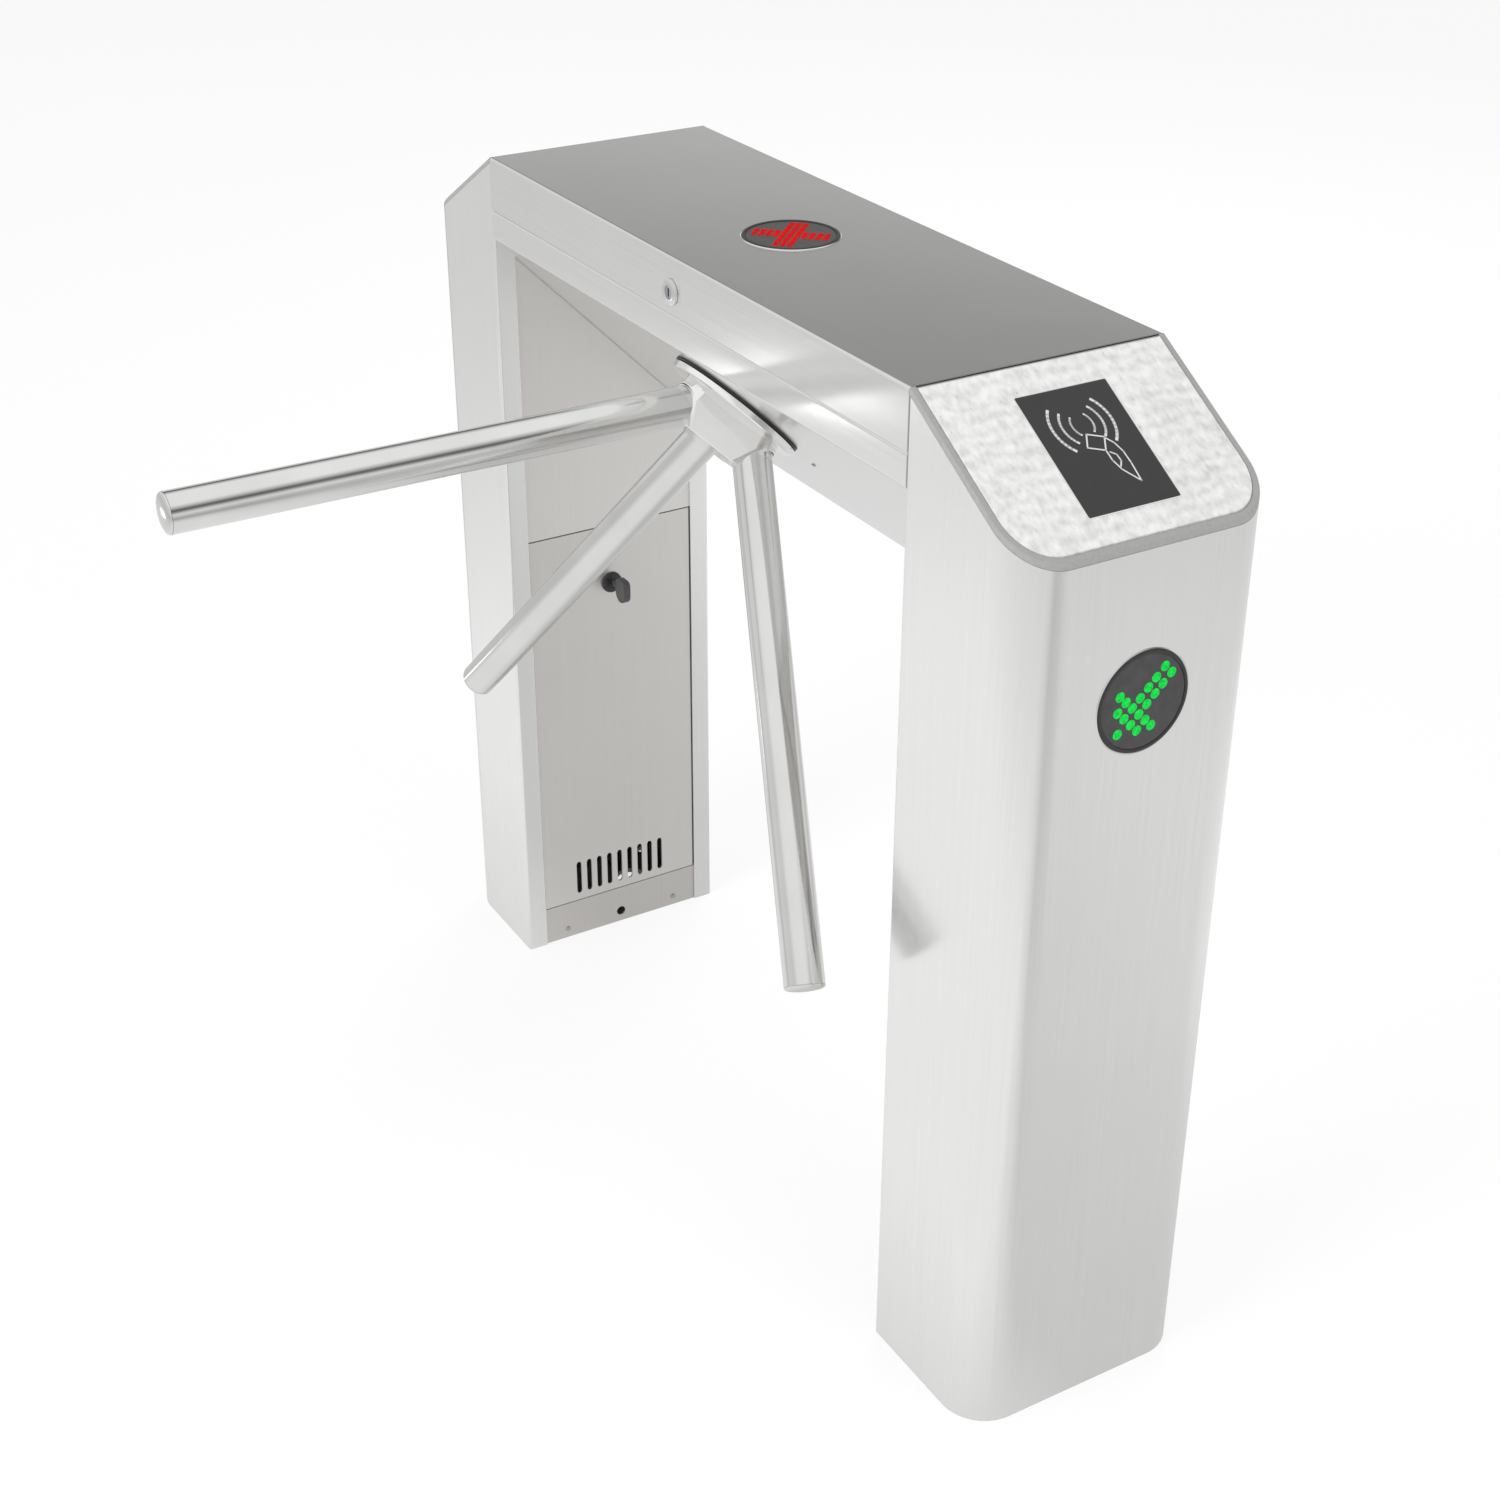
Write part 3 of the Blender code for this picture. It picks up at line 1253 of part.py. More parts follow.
def pawl(name, sign):
    """Locking pawl, released: a flat lever from its pin to a square nose beside the disc."""
    u, v = pawl_pivot(sign)
    nose_u = pawl_nose_u()
    nose_v = sign * PAWL_NOSE_SIDE
    outer_v = nose_v - sign * PAWL_NOSE_HALF
    inner_v = nose_v + sign * PAWL_NOSE_HALF
    eye = PAWL_EYE_RADIUS
    waist = PAWL_WAIST / 2
    outline = [
        (nose_u, inner_v),
        (nose_u, outer_v),
        (nose_u - PAWL_WAIST, outer_v),
        (u - waist, v - sign * eye * 0.6),
        (u - waist, v),
        (u + waist, v),
        (u + waist, v - sign * eye),
        (nose_u - waist * 0.6, inner_v),
    ]
    relative = [(x - u, y - v) for x, y in outline]
    place = MECH @ at(u, v, DISC_IN)
    lever = plate(name, [relative], DISC_THICKNESS, machined_steel(), place)
    ring = cylinder_mesh(name + "_eye", eye, 0.0, DISC_THICKNESS, SMALL_SIDES)
    join(lever, add_object(name + "_eye", ring, None, place, CUTTERS))
    drill(lever, PAWL_PIN_RADIUS + FIT, place, DISC_THICKNESS * 2, 12)
    return lever


def plunger_places(sign):
    """The plunger's line: where it meets the pawl's back and where its solenoid starts."""
    u, v = pawl_pivot(sign)
    line_v = v - sign * PLUNGER_ARM
    nose_u = pawl_nose_u()
    nose_outer = sign * (PAWL_NOSE_SIDE - PAWL_NOSE_HALF)
    start_u, start_v = u - PAWL_WAIST / 2, v - sign * PAWL_EYE_RADIUS * 0.6
    end_u, end_v = nose_u - PAWL_WAIST, nose_outer
    share = (line_v - start_v) / (end_v - start_v)
    back_u = start_u + (end_u - start_u) * share
    return line_v, back_u


def plunger(name, sign):
    """Solenoid plunger that pushes the pawl towards the disc."""
    line_v, back_u = plunger_places(sign)
    middle = (DISC_IN + DISC_OUT) / 2
    tip = FIT + PLUNGER_RADIUS * 0.15
    start = tip
    end = SOLENOID_GAP + PLUNGER_STROKE + SOLENOID_LENGTH * 0.4
    profile = [
        (0.0, end),
        (PLUNGER_RADIUS, end),
        (PLUNGER_RADIUS, start + PLUNGER_RADIUS * 0.8),
        (PLUNGER_RADIUS * 0.35, start),
        (0.0, start),
    ]
    origin = MECH @ Vector((back_u, line_v, middle))
    place = frame_along(origin, (-1, 0, 0), (0, 0, 1))
    return turned(name, profile, machined_steel(), place, SMALL_SIDES)


def solenoid(name, sign):
    """Solenoid on its foot, open at the front where the plunger slides."""
    line_v, back_u = plunger_places(sign)
    middle = (DISC_IN + DISC_OUT) / 2
    half = SOLENOID_SIDE / 2
    front = back_u - SOLENOID_GAP
    low = (front - SOLENOID_LENGTH, line_v - half, HOUSING_IN)
    high = (front, line_v + half, middle + half)
    body = box(name, low, high, black_plastic(), MECH)
    depth = PLUNGER_STROKE + SOLENOID_LENGTH * 0.6
    bore = cylinder_mesh(name + "_bore", PLUNGER_RADIUS + FIT, -FIT, depth, SMALL_SIDES)
    origin = MECH @ Vector((front, line_v, middle))
    place = frame_along(origin, (-1, 0, 0), (0, 0, 1))
    return cut(body, add_object(name + "_bore", bore, None, place, CUTTERS))


def control_board():
    """Control board on four standoffs on the back wall, with its terminal blocks and relays."""
    wall = HALF_WIDTH - SHEET - FIT
    face = wall - BOARD_STANDOFF
    low_z = BACK_EDGE + BOARD_ABOVE_EDGE
    start = INNER_X - BOARD_FROM_LEG - BOARD_LENGTH
    board = box(
        "control_board",
        (start, face - BOARD_THICKNESS, low_z),
        (start + BOARD_LENGTH, face, low_z + BOARD_HEIGHT),
        material("circuit_board", (0.03, 0.16, 0.08), 0.5, 0.0),
    )
    inset = 0.008
    for x in (start + inset, start + BOARD_LENGTH - inset):
        for z in (low_z + inset, low_z + BOARD_HEIGHT - inset):
            post = cylinder_mesh("board_post", 0.003, -BOARD_THICKNESS / 2, BOARD_STANDOFF, 8)
            join(board, add_object("board_post", post, None, frame_along((x, face, z), (0, 1, 0)), CUTTERS))
    front = face - BOARD_THICKNESS * 0.5
    blocks = [
        (0.10, 0.06, 0.55, 0.12, 0.011),
        (0.10, 0.82, 0.45, 0.12, 0.011),
        (0.62, 0.55, 0.12, 0.35, 0.015),
        (0.80, 0.55, 0.12, 0.35, 0.015),
        (0.20, 0.35, 0.25, 0.30, 0.004),
    ]
    for i, (x, z, wide, tall, deep) in enumerate(blocks):
        x0 = start + x * BOARD_LENGTH
        z0 = low_z + z * BOARD_HEIGHT
        block = box_mesh(
            f"board_block_{i}",
            (x0, front - deep, z0),
            (x0 + wide * BOARD_LENGTH, front, z0 + tall * BOARD_HEIGHT),
        )
        join(board, add_object(f"board_block_{i}", block, None, None, CUTTERS))
    return board


def build_legs():
    """Both legs with everything that the near one holds mirrored to the far one."""
    for make in (
        leg_shell,
        base_plate,
        kick_plate,
        upper_panel,
        door_frame,
        door,
        slope_rim,
        slope_plate,
        reader,
    ):
        near = make()
        far_copy(near, near.name.replace("near_", "far_"))
    for near in door_lock():
        far_copy(near, near.name.replace("near_", "far_"))
    door_key()
    place = frame_along((OUTER_X, 0, END_INDICATOR_HEIGHT), (1, 0, 0), (0, 1, 0))
    for make, name in ((indicator_bezel, "indicator_bezel"), (indicator_lens, "indicator_lens")):
        far_copy(make("near_" + name, place), "far_" + name)


def build_bridge():
    bridge()
    lid()
    lid_lock()
    hinge_half("lid_hinge_fixed_leaf", False)
    hinge_half("lid_hinge_moving_leaf", True)
    indicator_bezel("top_indicator_bezel", at(0, 0, HEIGHT))
    indicator_lens("top_indicator_lens", at(0, 0, HEIGHT))
    control_board()


def build_tripod():
    collar()
    hub()
    hub_bolt()
    shaft()
    for index, side in enumerate(("level", "near", "far")):
        arm(side + "_arm", index)
        arm_cap(side + "_arm_cap", index)


def build_mechanism():
    mechanism_plate()
    bearing_housing()
    bearing("front_bearing", FRONT_BEARING)
    bearing("rear_bearing", REAR_BEARING)
    locking_disc()
    drive_gear()
    damper()
    damper_pinion()
    for name, sign in (("entry", -1), ("exit", 1)):
        pawl(name + "_pawl", sign)
        plunger(name + "_plunger", sign)
        solenoid(name + "_solenoid", sign)


def main():
    global PARTS, CUTTERS, ORIGIN
    clear_scene()
    PARTS = make_collection("turnstile")
    CUTTERS = make_collection("cutters", hidden=True)
    ORIGIN = bpy.data.objects.new("turnstile_origin", None)
    PARTS.objects.link(ORIGIN)
    ORIGIN.location = (0.0, CABINET_Y, 0.0)
    build_legs()
    build_bridge()
    build_tripod()
    build_mechanism()


main()
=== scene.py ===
# %% [markdown]
# # A tripod turnstile in stainless steel
# This lesson dresses a turnstile: a bridge-shaped cabinet of folded sheet with three polished
# arms. The solids come packed from CAD. Flat sheet keeps its CAD shape and only gets a finish,
# while everything rounded is modelled again with more faces, because polished steel shows each
# facet as a band of light.

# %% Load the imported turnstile
import math

import bmesh
import bpy
from mathutils import Matrix, Vector


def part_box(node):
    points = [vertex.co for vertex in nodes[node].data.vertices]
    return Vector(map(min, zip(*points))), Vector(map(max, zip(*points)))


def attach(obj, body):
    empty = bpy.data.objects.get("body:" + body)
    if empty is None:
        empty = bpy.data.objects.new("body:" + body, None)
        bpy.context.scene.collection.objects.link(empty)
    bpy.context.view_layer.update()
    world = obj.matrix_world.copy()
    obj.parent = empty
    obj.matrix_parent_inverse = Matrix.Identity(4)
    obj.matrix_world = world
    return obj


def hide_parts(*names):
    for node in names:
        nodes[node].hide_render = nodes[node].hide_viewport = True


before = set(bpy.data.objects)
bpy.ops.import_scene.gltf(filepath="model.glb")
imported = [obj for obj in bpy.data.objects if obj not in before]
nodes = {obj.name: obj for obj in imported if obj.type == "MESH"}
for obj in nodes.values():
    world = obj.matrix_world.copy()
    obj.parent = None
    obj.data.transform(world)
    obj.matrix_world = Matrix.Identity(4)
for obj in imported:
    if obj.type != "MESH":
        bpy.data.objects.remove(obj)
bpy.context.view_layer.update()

# %% [markdown]
# The cabinet's main sizes are read from the solids, so that each new piece stays in its place
# when the CAD model changes. Only what no box can tell is written down here.

# %% Read the cabinet's sizes
leg_low, leg_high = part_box("near_leg_shell")
lid_low, lid_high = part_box("lid")
plate_low, plate_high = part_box("near_slope_plate")
inner_x, outer_x = leg_low.x, leg_high.x
middle_y = (leg_low.y + leg_high.y) / 2
half_width = (leg_high.y - leg_low.y) / 2
top_z = lid_high.z
leg_depth = outer_x - inner_x
slope_drop = 0.098
slope_length = math.hypot(leg_depth, slope_drop)
corner_radius = 0.045
sheet = 0.002
rim_height = 0.0055
rim_band = 0.0058
print("leg depth", round(leg_depth, 4), "half width", round(half_width, 4), "top", round(top_z, 4))

# %% [markdown]
# The camera repeats the photograph's: it was fitted to the cabinet's straight edges. A camera
# looks along its own -Z, so its columns are the directions of right, up and back.

# %% Place the camera
camera_data = bpy.data.cameras.new("camera")
camera_data.lens = 56.80
camera_data.sensor_width = 36.0
camera_data.clip_end = 60.0
camera = bpy.data.objects.new("camera", camera_data)
bpy.context.scene.collection.objects.link(camera)
right = Vector((0.5083, 0.86118, 0.00182)).normalized()
back = Vector((0.75131, -0.44448, 0.48782)).normalized()
up = back.cross(right).normalized()
right = up.cross(back)
camera.matrix_world = Matrix.Translation((1.8351, middle_y - 1.1287, 1.6357)) @ Matrix(
    (right, up, back)
).transposed().to_4x4()
bpy.context.scene.camera = camera
print("camera at", [round(c, 3) for c in camera.location])

# %% [markdown]
# ## Finishes
# A finish is a node tree on the Principled shader. The small helpers below keep the trees short:
# one starts a material, one adds a node, one turns a value into a range of colours.

# %% Helpers for node trees
def start_material(name, roughness, metallic):
    made = bpy.data.materials.new(name)
    made.use_nodes = True
    shader = made.node_tree.nodes["Principled BSDF"]
    shader.inputs["Roughness"].default_value = roughness
    shader.inputs["Metallic"].default_value = metallic
    return made, made.node_tree, shader


def add_node(tree, kind, **settings):
    node = tree.nodes.new(kind)
    for key, value in settings.items():
        if key in node.inputs:
            node.inputs[key].default_value = value
        else:
            setattr(node, key, value)
    return node


def stretched_coordinates(tree, scale):
    coordinates = add_node(tree, "ShaderNodeTexCoord")
    mapping = add_node(tree, "ShaderNodeMapping", Scale=scale)
    tree.links.new(coordinates.outputs["Object"], mapping.inputs["Vector"])
    return mapping.outputs["Vector"]


def colour_range(tree, factor, stops):
    ramp = add_node(tree, "ShaderNodeValToRGB")
    elements = ramp.color_ramp.elements
    while len(elements) < len(stops):
        elements.new(0.5)
    for element, (position, colour) in zip(elements, stops):
        element.position = position
        element.color = (*colour, 1.0)
    tree.links.new(factor, ramp.inputs["Fac"])
    return ramp.outputs["Color"]


def number_range(tree, factor, low, high):
    limits = add_node(tree, "ShaderNodeMapRange")
    limits.inputs["To Min"].default_value = low
    limits.inputs["To Max"].default_value = high
    tree.links.new(factor, limits.inputs["Value"])
    return limits.outputs["Result"]


def noise(tree, vector, scale, detail=3.0):
    made = add_node(tree, "ShaderNodeTexNoise", Scale=scale, Detail=detail)
    tree.links.new(vector, made.inputs["Vector"])
    return made.outputs["Fac"]


def add_bump(tree, shader, height, strength, distance):
    bump = add_node(tree, "ShaderNodeBump", Strength=strength, Distance=distance)
    tree.links.new(height, bump.inputs["Height"])
    tree.links.new(bump.outputs["Normal"], shader.inputs["Normal"])


print("node helpers ready")

# %% [markdown]
# Satin stainless steel is ground with a belt, so its scratches all run one way. Noise stretched
# along the grain makes them: it moves the colour and the roughness a little, and a very low bump
# spreads the highlights. A second, wide noise adds the faint cloudiness of wiped steel.

# %% Make satin steel
def satin_steel(name, grain, light, dark, roughness):
    made, tree, shader = start_material(name, roughness, 0.85)
    scratches = noise(tree, stretched_coordinates(tree, grain), 1.0, 2.0)
    clouds = noise(tree, stretched_coordinates(tree, (1.0, 1.0, 1.0)), 5.0, 2.0)
    mixed = add_node(tree, "ShaderNodeMix", data_type="FLOAT", Factor=0.45)
    tree.links.new(scratches, mixed.inputs["A"])
    tree.links.new(clouds, mixed.inputs["B"])
    colour = colour_range(tree, mixed.outputs["Result"], [(0.3, dark), (0.7, light)])
    tree.links.new(colour, shader.inputs["Base Color"])
    rough = number_range(tree, mixed.outputs["Result"], roughness - 0.03, roughness + 0.04)
    tree.links.new(rough, shader.inputs["Roughness"])
    add_bump(tree, shader, scratches, 0.02, 0.0002)
    return made


upright_grain = (500.0, 500.0, 6.0)
long_grain = (6.0, 700.0, 700.0)
leg_steel = satin_steel("leg_steel", upright_grain, (0.85, 0.85, 0.84), (0.81, 0.81, 0.80), 0.17)
bridge_steel = satin_steel(
    "bridge_steel", long_grain, (0.82, 0.82, 0.81), (0.78, 0.78, 0.77), 0.15
)
# The lid's copy is a little darker than the legs': painted shade on its upward-facing top.
lid_steel = satin_steel("lid_steel", long_grain, (0.80, 0.80, 0.79), (0.75, 0.75, 0.74), 0.16)
# Upper panels, doors and kick plates share one satin steel in three tones, darker towards the
# floor: painted shade.
painted_shade_tones = (
    ("upper_steel", (0.82, 0.80, 0.78), (0.79, 0.77, 0.75)),
    ("panel_steel", (0.75, 0.73, 0.71), (0.72, 0.70, 0.68)),
    ("kick_steel", (0.66, 0.64, 0.62), (0.63, 0.61, 0.59)),
)
upper_steel, panel_steel, kick_steel = (
    satin_steel(name, upright_grain, light, dark, 0.36) for name, light, dark in painted_shade_tones
)
print("satin steel on the legs, bridge, lid and panels")

# %% [markdown]
# The arms and the hub are polished and plated, so they work as mirrors and take their look from
# the studio. A trace of uneven polish keeps their reflections from looking computed.

# %% Make polished steel
def polished_steel(name, roughness, light):
    made, tree, shader = start_material(name, roughness, 1.0)
    waves = noise(tree, stretched_coordinates(tree, (1.0, 1.0, 1.0)), 14.0, 2.0)
    darker = tuple(c * 0.93 for c in light)
    colour = colour_range(tree, waves, [(0.3, darker), (0.7, light)])
    tree.links.new(colour, shader.inputs["Base Color"])
    rough = number_range(tree, waves, roughness * 0.7, roughness * 1.4)
    tree.links.new(rough, shader.inputs["Roughness"])
    add_bump(tree, shader, waves, 0.02, 0.0006)
    return made


arm_chrome = polished_steel("arm_chrome", 0.12, (0.77, 0.77, 0.76))
hub_chrome = polished_steel("hub_chrome", 0.10, (0.93, 0.93, 0.92))
lock_chrome = polished_steel("lock_chrome", 0.16, (0.80, 0.80, 0.79))
print("polished steel on the arms, hub and lid lock")

# %% [markdown]
# The face plate under the reader is bright and cloudy, as if stippled by a soft brush. Two noises
# at different scales give its light and dark flecks, a distorted wave gives its uneven rows, and a
# bump gives them some relief.

# %% Make the stippled face plate, the trim, plastics and machined steel
def stippled_plate(name):
    made, tree, shader = start_material(name, 0.3, 0.55)
    vector = stretched_coordinates(tree, (1.0, 1.6, 1.0))
    flecks = noise(tree, vector, 150.0, 3.0)
    patches = noise(tree, vector, 60.0, 3.0)
    mixed = add_node(tree, "ShaderNodeMix", data_type="FLOAT", Factor=0.5)
    tree.links.new(flecks, mixed.inputs["A"])
    tree.links.new(patches, mixed.inputs["B"])
    rows = add_node(tree, "ShaderNodeTexWave", Scale=26.0, Distortion=7.0, Detail=2.0)
    tree.links.new(vector, rows.inputs["Vector"])
    rippled = add_node(tree, "ShaderNodeMix", data_type="FLOAT", Factor=0.10)
    tree.links.new(mixed.outputs["Result"], rippled.inputs["A"])
    tree.links.new(rows.outputs["Fac"], rippled.inputs["B"])
    stops = [(0.32, (0.66, 0.66, 0.65)), (0.50, (0.83, 0.83, 0.82)), (0.66, (0.95, 0.95, 0.94))]
    colour = colour_range(tree, rippled.outputs["Result"], stops)
    tree.links.new(colour, shader.inputs["Base Color"])
    tree.links.new(number_range(tree, flecks, 0.22, 0.42), shader.inputs["Roughness"])
    add_bump(tree, shader, rippled.outputs["Result"], 0.06, 0.0006)
    return made


def flecked(name, light, dark, roughness, metallic, scale=320.0, bump=0.05):
    made, tree, shader = start_material(name, roughness, metallic)
    specks = noise(tree, stretched_coordinates(tree, (1.0, 1.0, 1.0)), scale, 4.0)
    colour = colour_range(tree, specks, [(0.3, dark), (0.7, light)])
    tree.links.new(colour, shader.inputs["Base Color"])
    rough = number_range(tree, specks, roughness - 0.06, roughness + 0.06)
    tree.links.new(rough, shader.inputs["Roughness"])
    add_bump(tree, shader, specks, bump, 0.0004)
    return made


plate_finish = stippled_plate("stippled_plate")
rim_grey = flecked("rim_grey", (0.38, 0.38, 0.375), (0.34, 0.34, 0.335), 0.50, 0.0)
window_black = flecked(
    "window_black", (0.017, 0.017, 0.018), (0.013, 0.013, 0.014), 0.26, 0.0, 90.0, 0.01
)
display_black = flecked(
    "display_black", (0.055, 0.055, 0.055), (0.040, 0.040, 0.040), 0.25, 0.0, 90.0, 0.01
)
moulded_black = flecked("moulded_black", (0.030, 0.030, 0.031), (0.018, 0.018, 0.018), 0.42, 0.0)
key_grey = flecked("key_grey", (0.085, 0.085, 0.087), (0.055, 0.055, 0.056), 0.45, 0.0)
machined = flecked("machined_steel", (0.52, 0.53, 0.55), (0.42, 0.43, 0.45), 0.32, 1.0, 180.0)
zinc = flecked("zinc_plated", (0.36, 0.37, 0.36), (0.28, 0.29, 0.28), 0.62, 0.4, 60.0)
board_green = flecked("board_green", (0.03, 0.17, 0.08), (0.02, 0.12, 0.06), 0.45, 0.0, 500.0)
# A near-black finish for the rings at the arms' joints: painted shade of the gap.
joint_shade = flecked("joint_shade", (0.05, 0.05, 0.05), (0.03, 0.03, 0.03), 0.6, 0.0)
print("plate, trim, plastics and machined steel ready")

# %% [markdown]
# The displays are rows of light-emitting diodes behind a dark window. Each lens is coloured
# plastic with some light of its own. It reflects nothing, since the window in front of it is matt.

# %% Make the lamp colours
def lamp(name, colour, deep):
    made, tree, shader = start_material(name, 0.6, 0.0)
    shader.inputs["Specular IOR Level"].default_value = 0.0
    specks = noise(tree, stretched_coordinates(tree, (1.0, 1.0, 1.0)), 420.0, 2.0)
    tint = colour_range(tree, specks, [(0.3, deep), (0.7, colour)])
    faint = tuple(c * 0.3 for c in deep)
    body = colour_range(tree, specks, [(0.3, faint), (0.7, deep)])
    tree.links.new(body, shader.inputs["Base Color"])
    tree.links.new(tint, shader.inputs["Emission Color"])
    shader.inputs["Emission Strength"].default_value = 1.0
    return made


lamp_green = lamp("lamp_green", (0.012, 0.52, 0.06), (0.008, 0.40, 0.045))
lamp_red = lamp("lamp_red", (0.46, 0.010, 0.010), (0.38, 0.008, 0.008))
print("lamp colours ready")

# %% [markdown]
# ## Modelling helpers
# Every new piece ends the same way: its normals are settled, its mesh becomes an object at the
# origin, it gets its finish, rides on a body and hides the CAD node it replaces.

# %% Helpers that finish a piece
def steady_normals(mesh, angle):
    """Shades each corner by the faces round its vertex, large faces counting most."""
    limit = math.cos(math.radians(angle))
    facing = [(face.normal.copy(), face.area) for face in mesh.polygons]
    around = [[] for vertex in mesh.vertices]
    for face in mesh.polygons:
        for vertex in face.vertices:
            around[vertex].append(face.index)
    corners = []
    for face in mesh.polygons:
        own = facing[face.index][0]
        for vertex in face.vertices:
            near = [facing[index] for index in around[vertex] if facing[index][0].dot(own) > limit]
            corners.append(sum((normal * area for normal, area in near), Vector()).normalized())
    mesh.normals_split_custom_set(corners)


def finish_piece(bm, name, finish, body, replaced=(), angle=32.0):
    bmesh.ops.remove_doubles(bm, verts=bm.verts, dist=1e-6)
    bmesh.ops.recalc_face_normals(bm, faces=bm.faces)
    mesh = bpy.data.meshes.new(name)
    bm.to_mesh(mesh)
    bm.free()
    mesh.materials.append(finish)
    mesh.shade_smooth()
    mesh.set_sharp_from_angle(angle=math.radians(angle))
    steady_normals(mesh, angle)
    piece = bpy.data.objects.new(name, mesh)
    bpy.context.scene.collection.objects.link(piece)
    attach(piece, body)
    if replaced:
        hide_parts(*replaced)
    print("made", name, "with", len(mesh.polygons), "faces")
    return piece


def everything(bm):
    return bm.verts[:] + bm.edges[:] + bm.faces[:]


def cut_away(bm, point, normal):
    """Removes what lies beyond a plane and closes the cut."""
    made = bmesh.ops.bisect_plane(
        bm, geom=everything(bm), dist=1e-6, plane_co=point, plane_no=normal, clear_outer=True
    )
    rim = [item for item in made["geom_cut"] if isinstance(item, bmesh.types.BMEdge)]
    bmesh.ops.holes_fill(bm, edges=rim, sides=0)
    return rim


def turned(profile, place, steps=96):
    """Spins an outline of (radius, height) points about the Z of `place`."""
    bm = bmesh.new()
    verts = [bm.verts.new((radius, 0.0, height)) for radius, height in profile]
    edges = [bm.edges.new(pair) for pair in zip(verts, verts[1:])]
    if profile[0][0] > 0:
        edges.append(bm.edges.new((verts[-1], verts[0])))
    bmesh.ops.spin(
        bm,
        geom=verts + edges,
        cent=(0, 0, 0),
        axis=(0, 0, 1),
        angle=2 * math.pi,
        steps=steps,
        use_merge=True,
        use_duplicate=False,
    )
    bmesh.ops.remove_doubles(bm, verts=bm.verts, dist=1e-6)
    bm.transform(place)
    return bm


def block(low, high):
    bm = bmesh.new()
    bmesh.ops.create_cube(bm, size=1.0)
    size = Vector(high) - Vector(low)
    bmesh.ops.scale(bm, verts=bm.verts, vec=size)
    bmesh.ops.translate(bm, verts=bm.verts, vec=(Vector(high) + Vector(low)) / 2)
    return bm


def round_edges(bm, edges, radius, steps):
    return bmesh.ops.bevel(
        bm,
        geom=edges,
        offset=radius,
        offset_type="OFFSET",
        segments=steps,
        profile=0.5,
        affect="EDGES",
        material=-1,
        clamp_overlap=True,
    )


def absorb(bm, other, place=None):
    """Adds the faces of another bmesh to this one."""
    if place:
        other.transform(place)
    mesh = bpy.data.meshes.new("part")
    other.to_mesh(mesh)
    other.free()
    bm.from_mesh(mesh)
    bpy.data.meshes.remove(mesh)


def to_far_side(bm):
    """Mirrors a piece to the far end of the cabinet."""
    bmesh.ops.scale(bm, verts=bm.verts, vec=(-1.0, 1.0, 1.0))
    bmesh.ops.reverse_faces(bm, faces=bm.faces)
    return bm


def merged_copy(name, new_name, finish, body, angle=32.0):
    """A smooth-shaded copy of a CAD node whose shape is right as it is."""
    bm = bmesh.new()
    bm.from_mesh(nodes[name].data)
    return finish_piece(bm, new_name, finish, body, (name,), angle)


print("modelling helpers ready")

# %% [markdown]
# ## The legs
# Each leg is one sheet, folded round the outer corners and back along the inner side. It starts
# as a plain block. Its outer corners are bevelled with many segments and a sloping plane cuts its
# top. The same block, drawn in a little, later gives the moulding and the face plate.

# %% Cut the leg's block
slope_normal = Vector((slope_drop, 0.0, leg_depth)).normalized()


def leg_block(inset, crest, low_z=0.0, steps=14):
    """A block with the leg's outline, drawn in by `inset` and by `crest` at the crest."""
    bm = block(
        (inner_x + crest, middle_y - half_width + inset, low_z),
        (outer_x - inset, middle_y + half_width - inset, top_z + 0.02),
    )
    upright = [
        edge
        for edge in bm.edges
        if abs(edge.verts[0].co.z - edge.verts[1].co.z) > 0.01
        and edge.verts[0].co.x > outer_x - inset - 1e-4
    ]
    round_edges(bm, upright, max(corner_radius - inset, 0.004), steps)
    return bm


def slope_slab(bm, top, bottom):
    """Keeps what lies between two planes along the slope, given as heights over its face."""
    cut_away(bm, (inner_x, 0, top_z + top), slope_normal)
    cut_away(bm, (inner_x, 0, top_z + bottom), -slope_normal)
    return bm


print("slope falls", round(slope_drop, 3), "m over the leg's depth")

# %% [markdown]
# The folds on the inner side are tight ones. Two cuts there mark the narrow flanges that the sheet
# turns in by, and what lies between them is left open for the panels. The open faces are deleted,
# and the skin that remains is thickened inwards to the sheet's gauge.

# %% Fold the leg's skin
def leg_skin():
    bm = leg_block(0.0, 0.0)
    folds = [
        edge
        for edge in bm.edges
        if abs(edge.verts[0].co.z - edge.verts[1].co.z) > 0.5
        and edge.verts[0].co.x < inner_x + 1e-4
        and edge.verts[1].co.x < inner_x + 1e-4
    ]
    round_edges(bm, folds, 0.003, 4)
    cut_away(bm, (inner_x, 0, top_z - rim_height - 0.0003), slope_normal)
    for side in (-1, 1):
        bmesh.ops.bisect_plane(
            bm,
            geom=everything(bm),
            dist=1e-6,
            plane_co=(0, middle_y + side * 0.104, 0),
            plane_no=(0, side, 0),
        )
    open_sides = []
    for face in bm.faces:
        centre = face.calc_center_median()
        inner = face.normal.x < -0.9 and abs(centre.y - middle_y) < 0.103
        if inner or abs(face.normal.z) > 0.5:
            open_sides.append(face)
    bmesh.ops.delete(bm, geom=open_sides, context="FACES")
    bmesh.ops.recalc_face_normals(bm, faces=bm.faces)
    bmesh.ops.solidify(bm, geom=bm.faces[:], thickness=sheet)
    return bm


finish_piece(leg_skin(), "near_leg_skin", leg_steel, "cabinet", ("near_leg_shell",))
far_skin = to_far_side(leg_skin())
finish_piece(far_skin, "far_leg_skin", leg_steel, "cabinet", ("far_leg_shell",))

# %% [markdown]
# ## The sloped reader end
# A grey moulding frames three sides of the slope and a bright plate lies in it. The moulding is a
# slab of the same block. Its top face is inset and sunk, and the slab is made too long over the
# crest and then cut there, so that the crest side keeps hardly any rim.

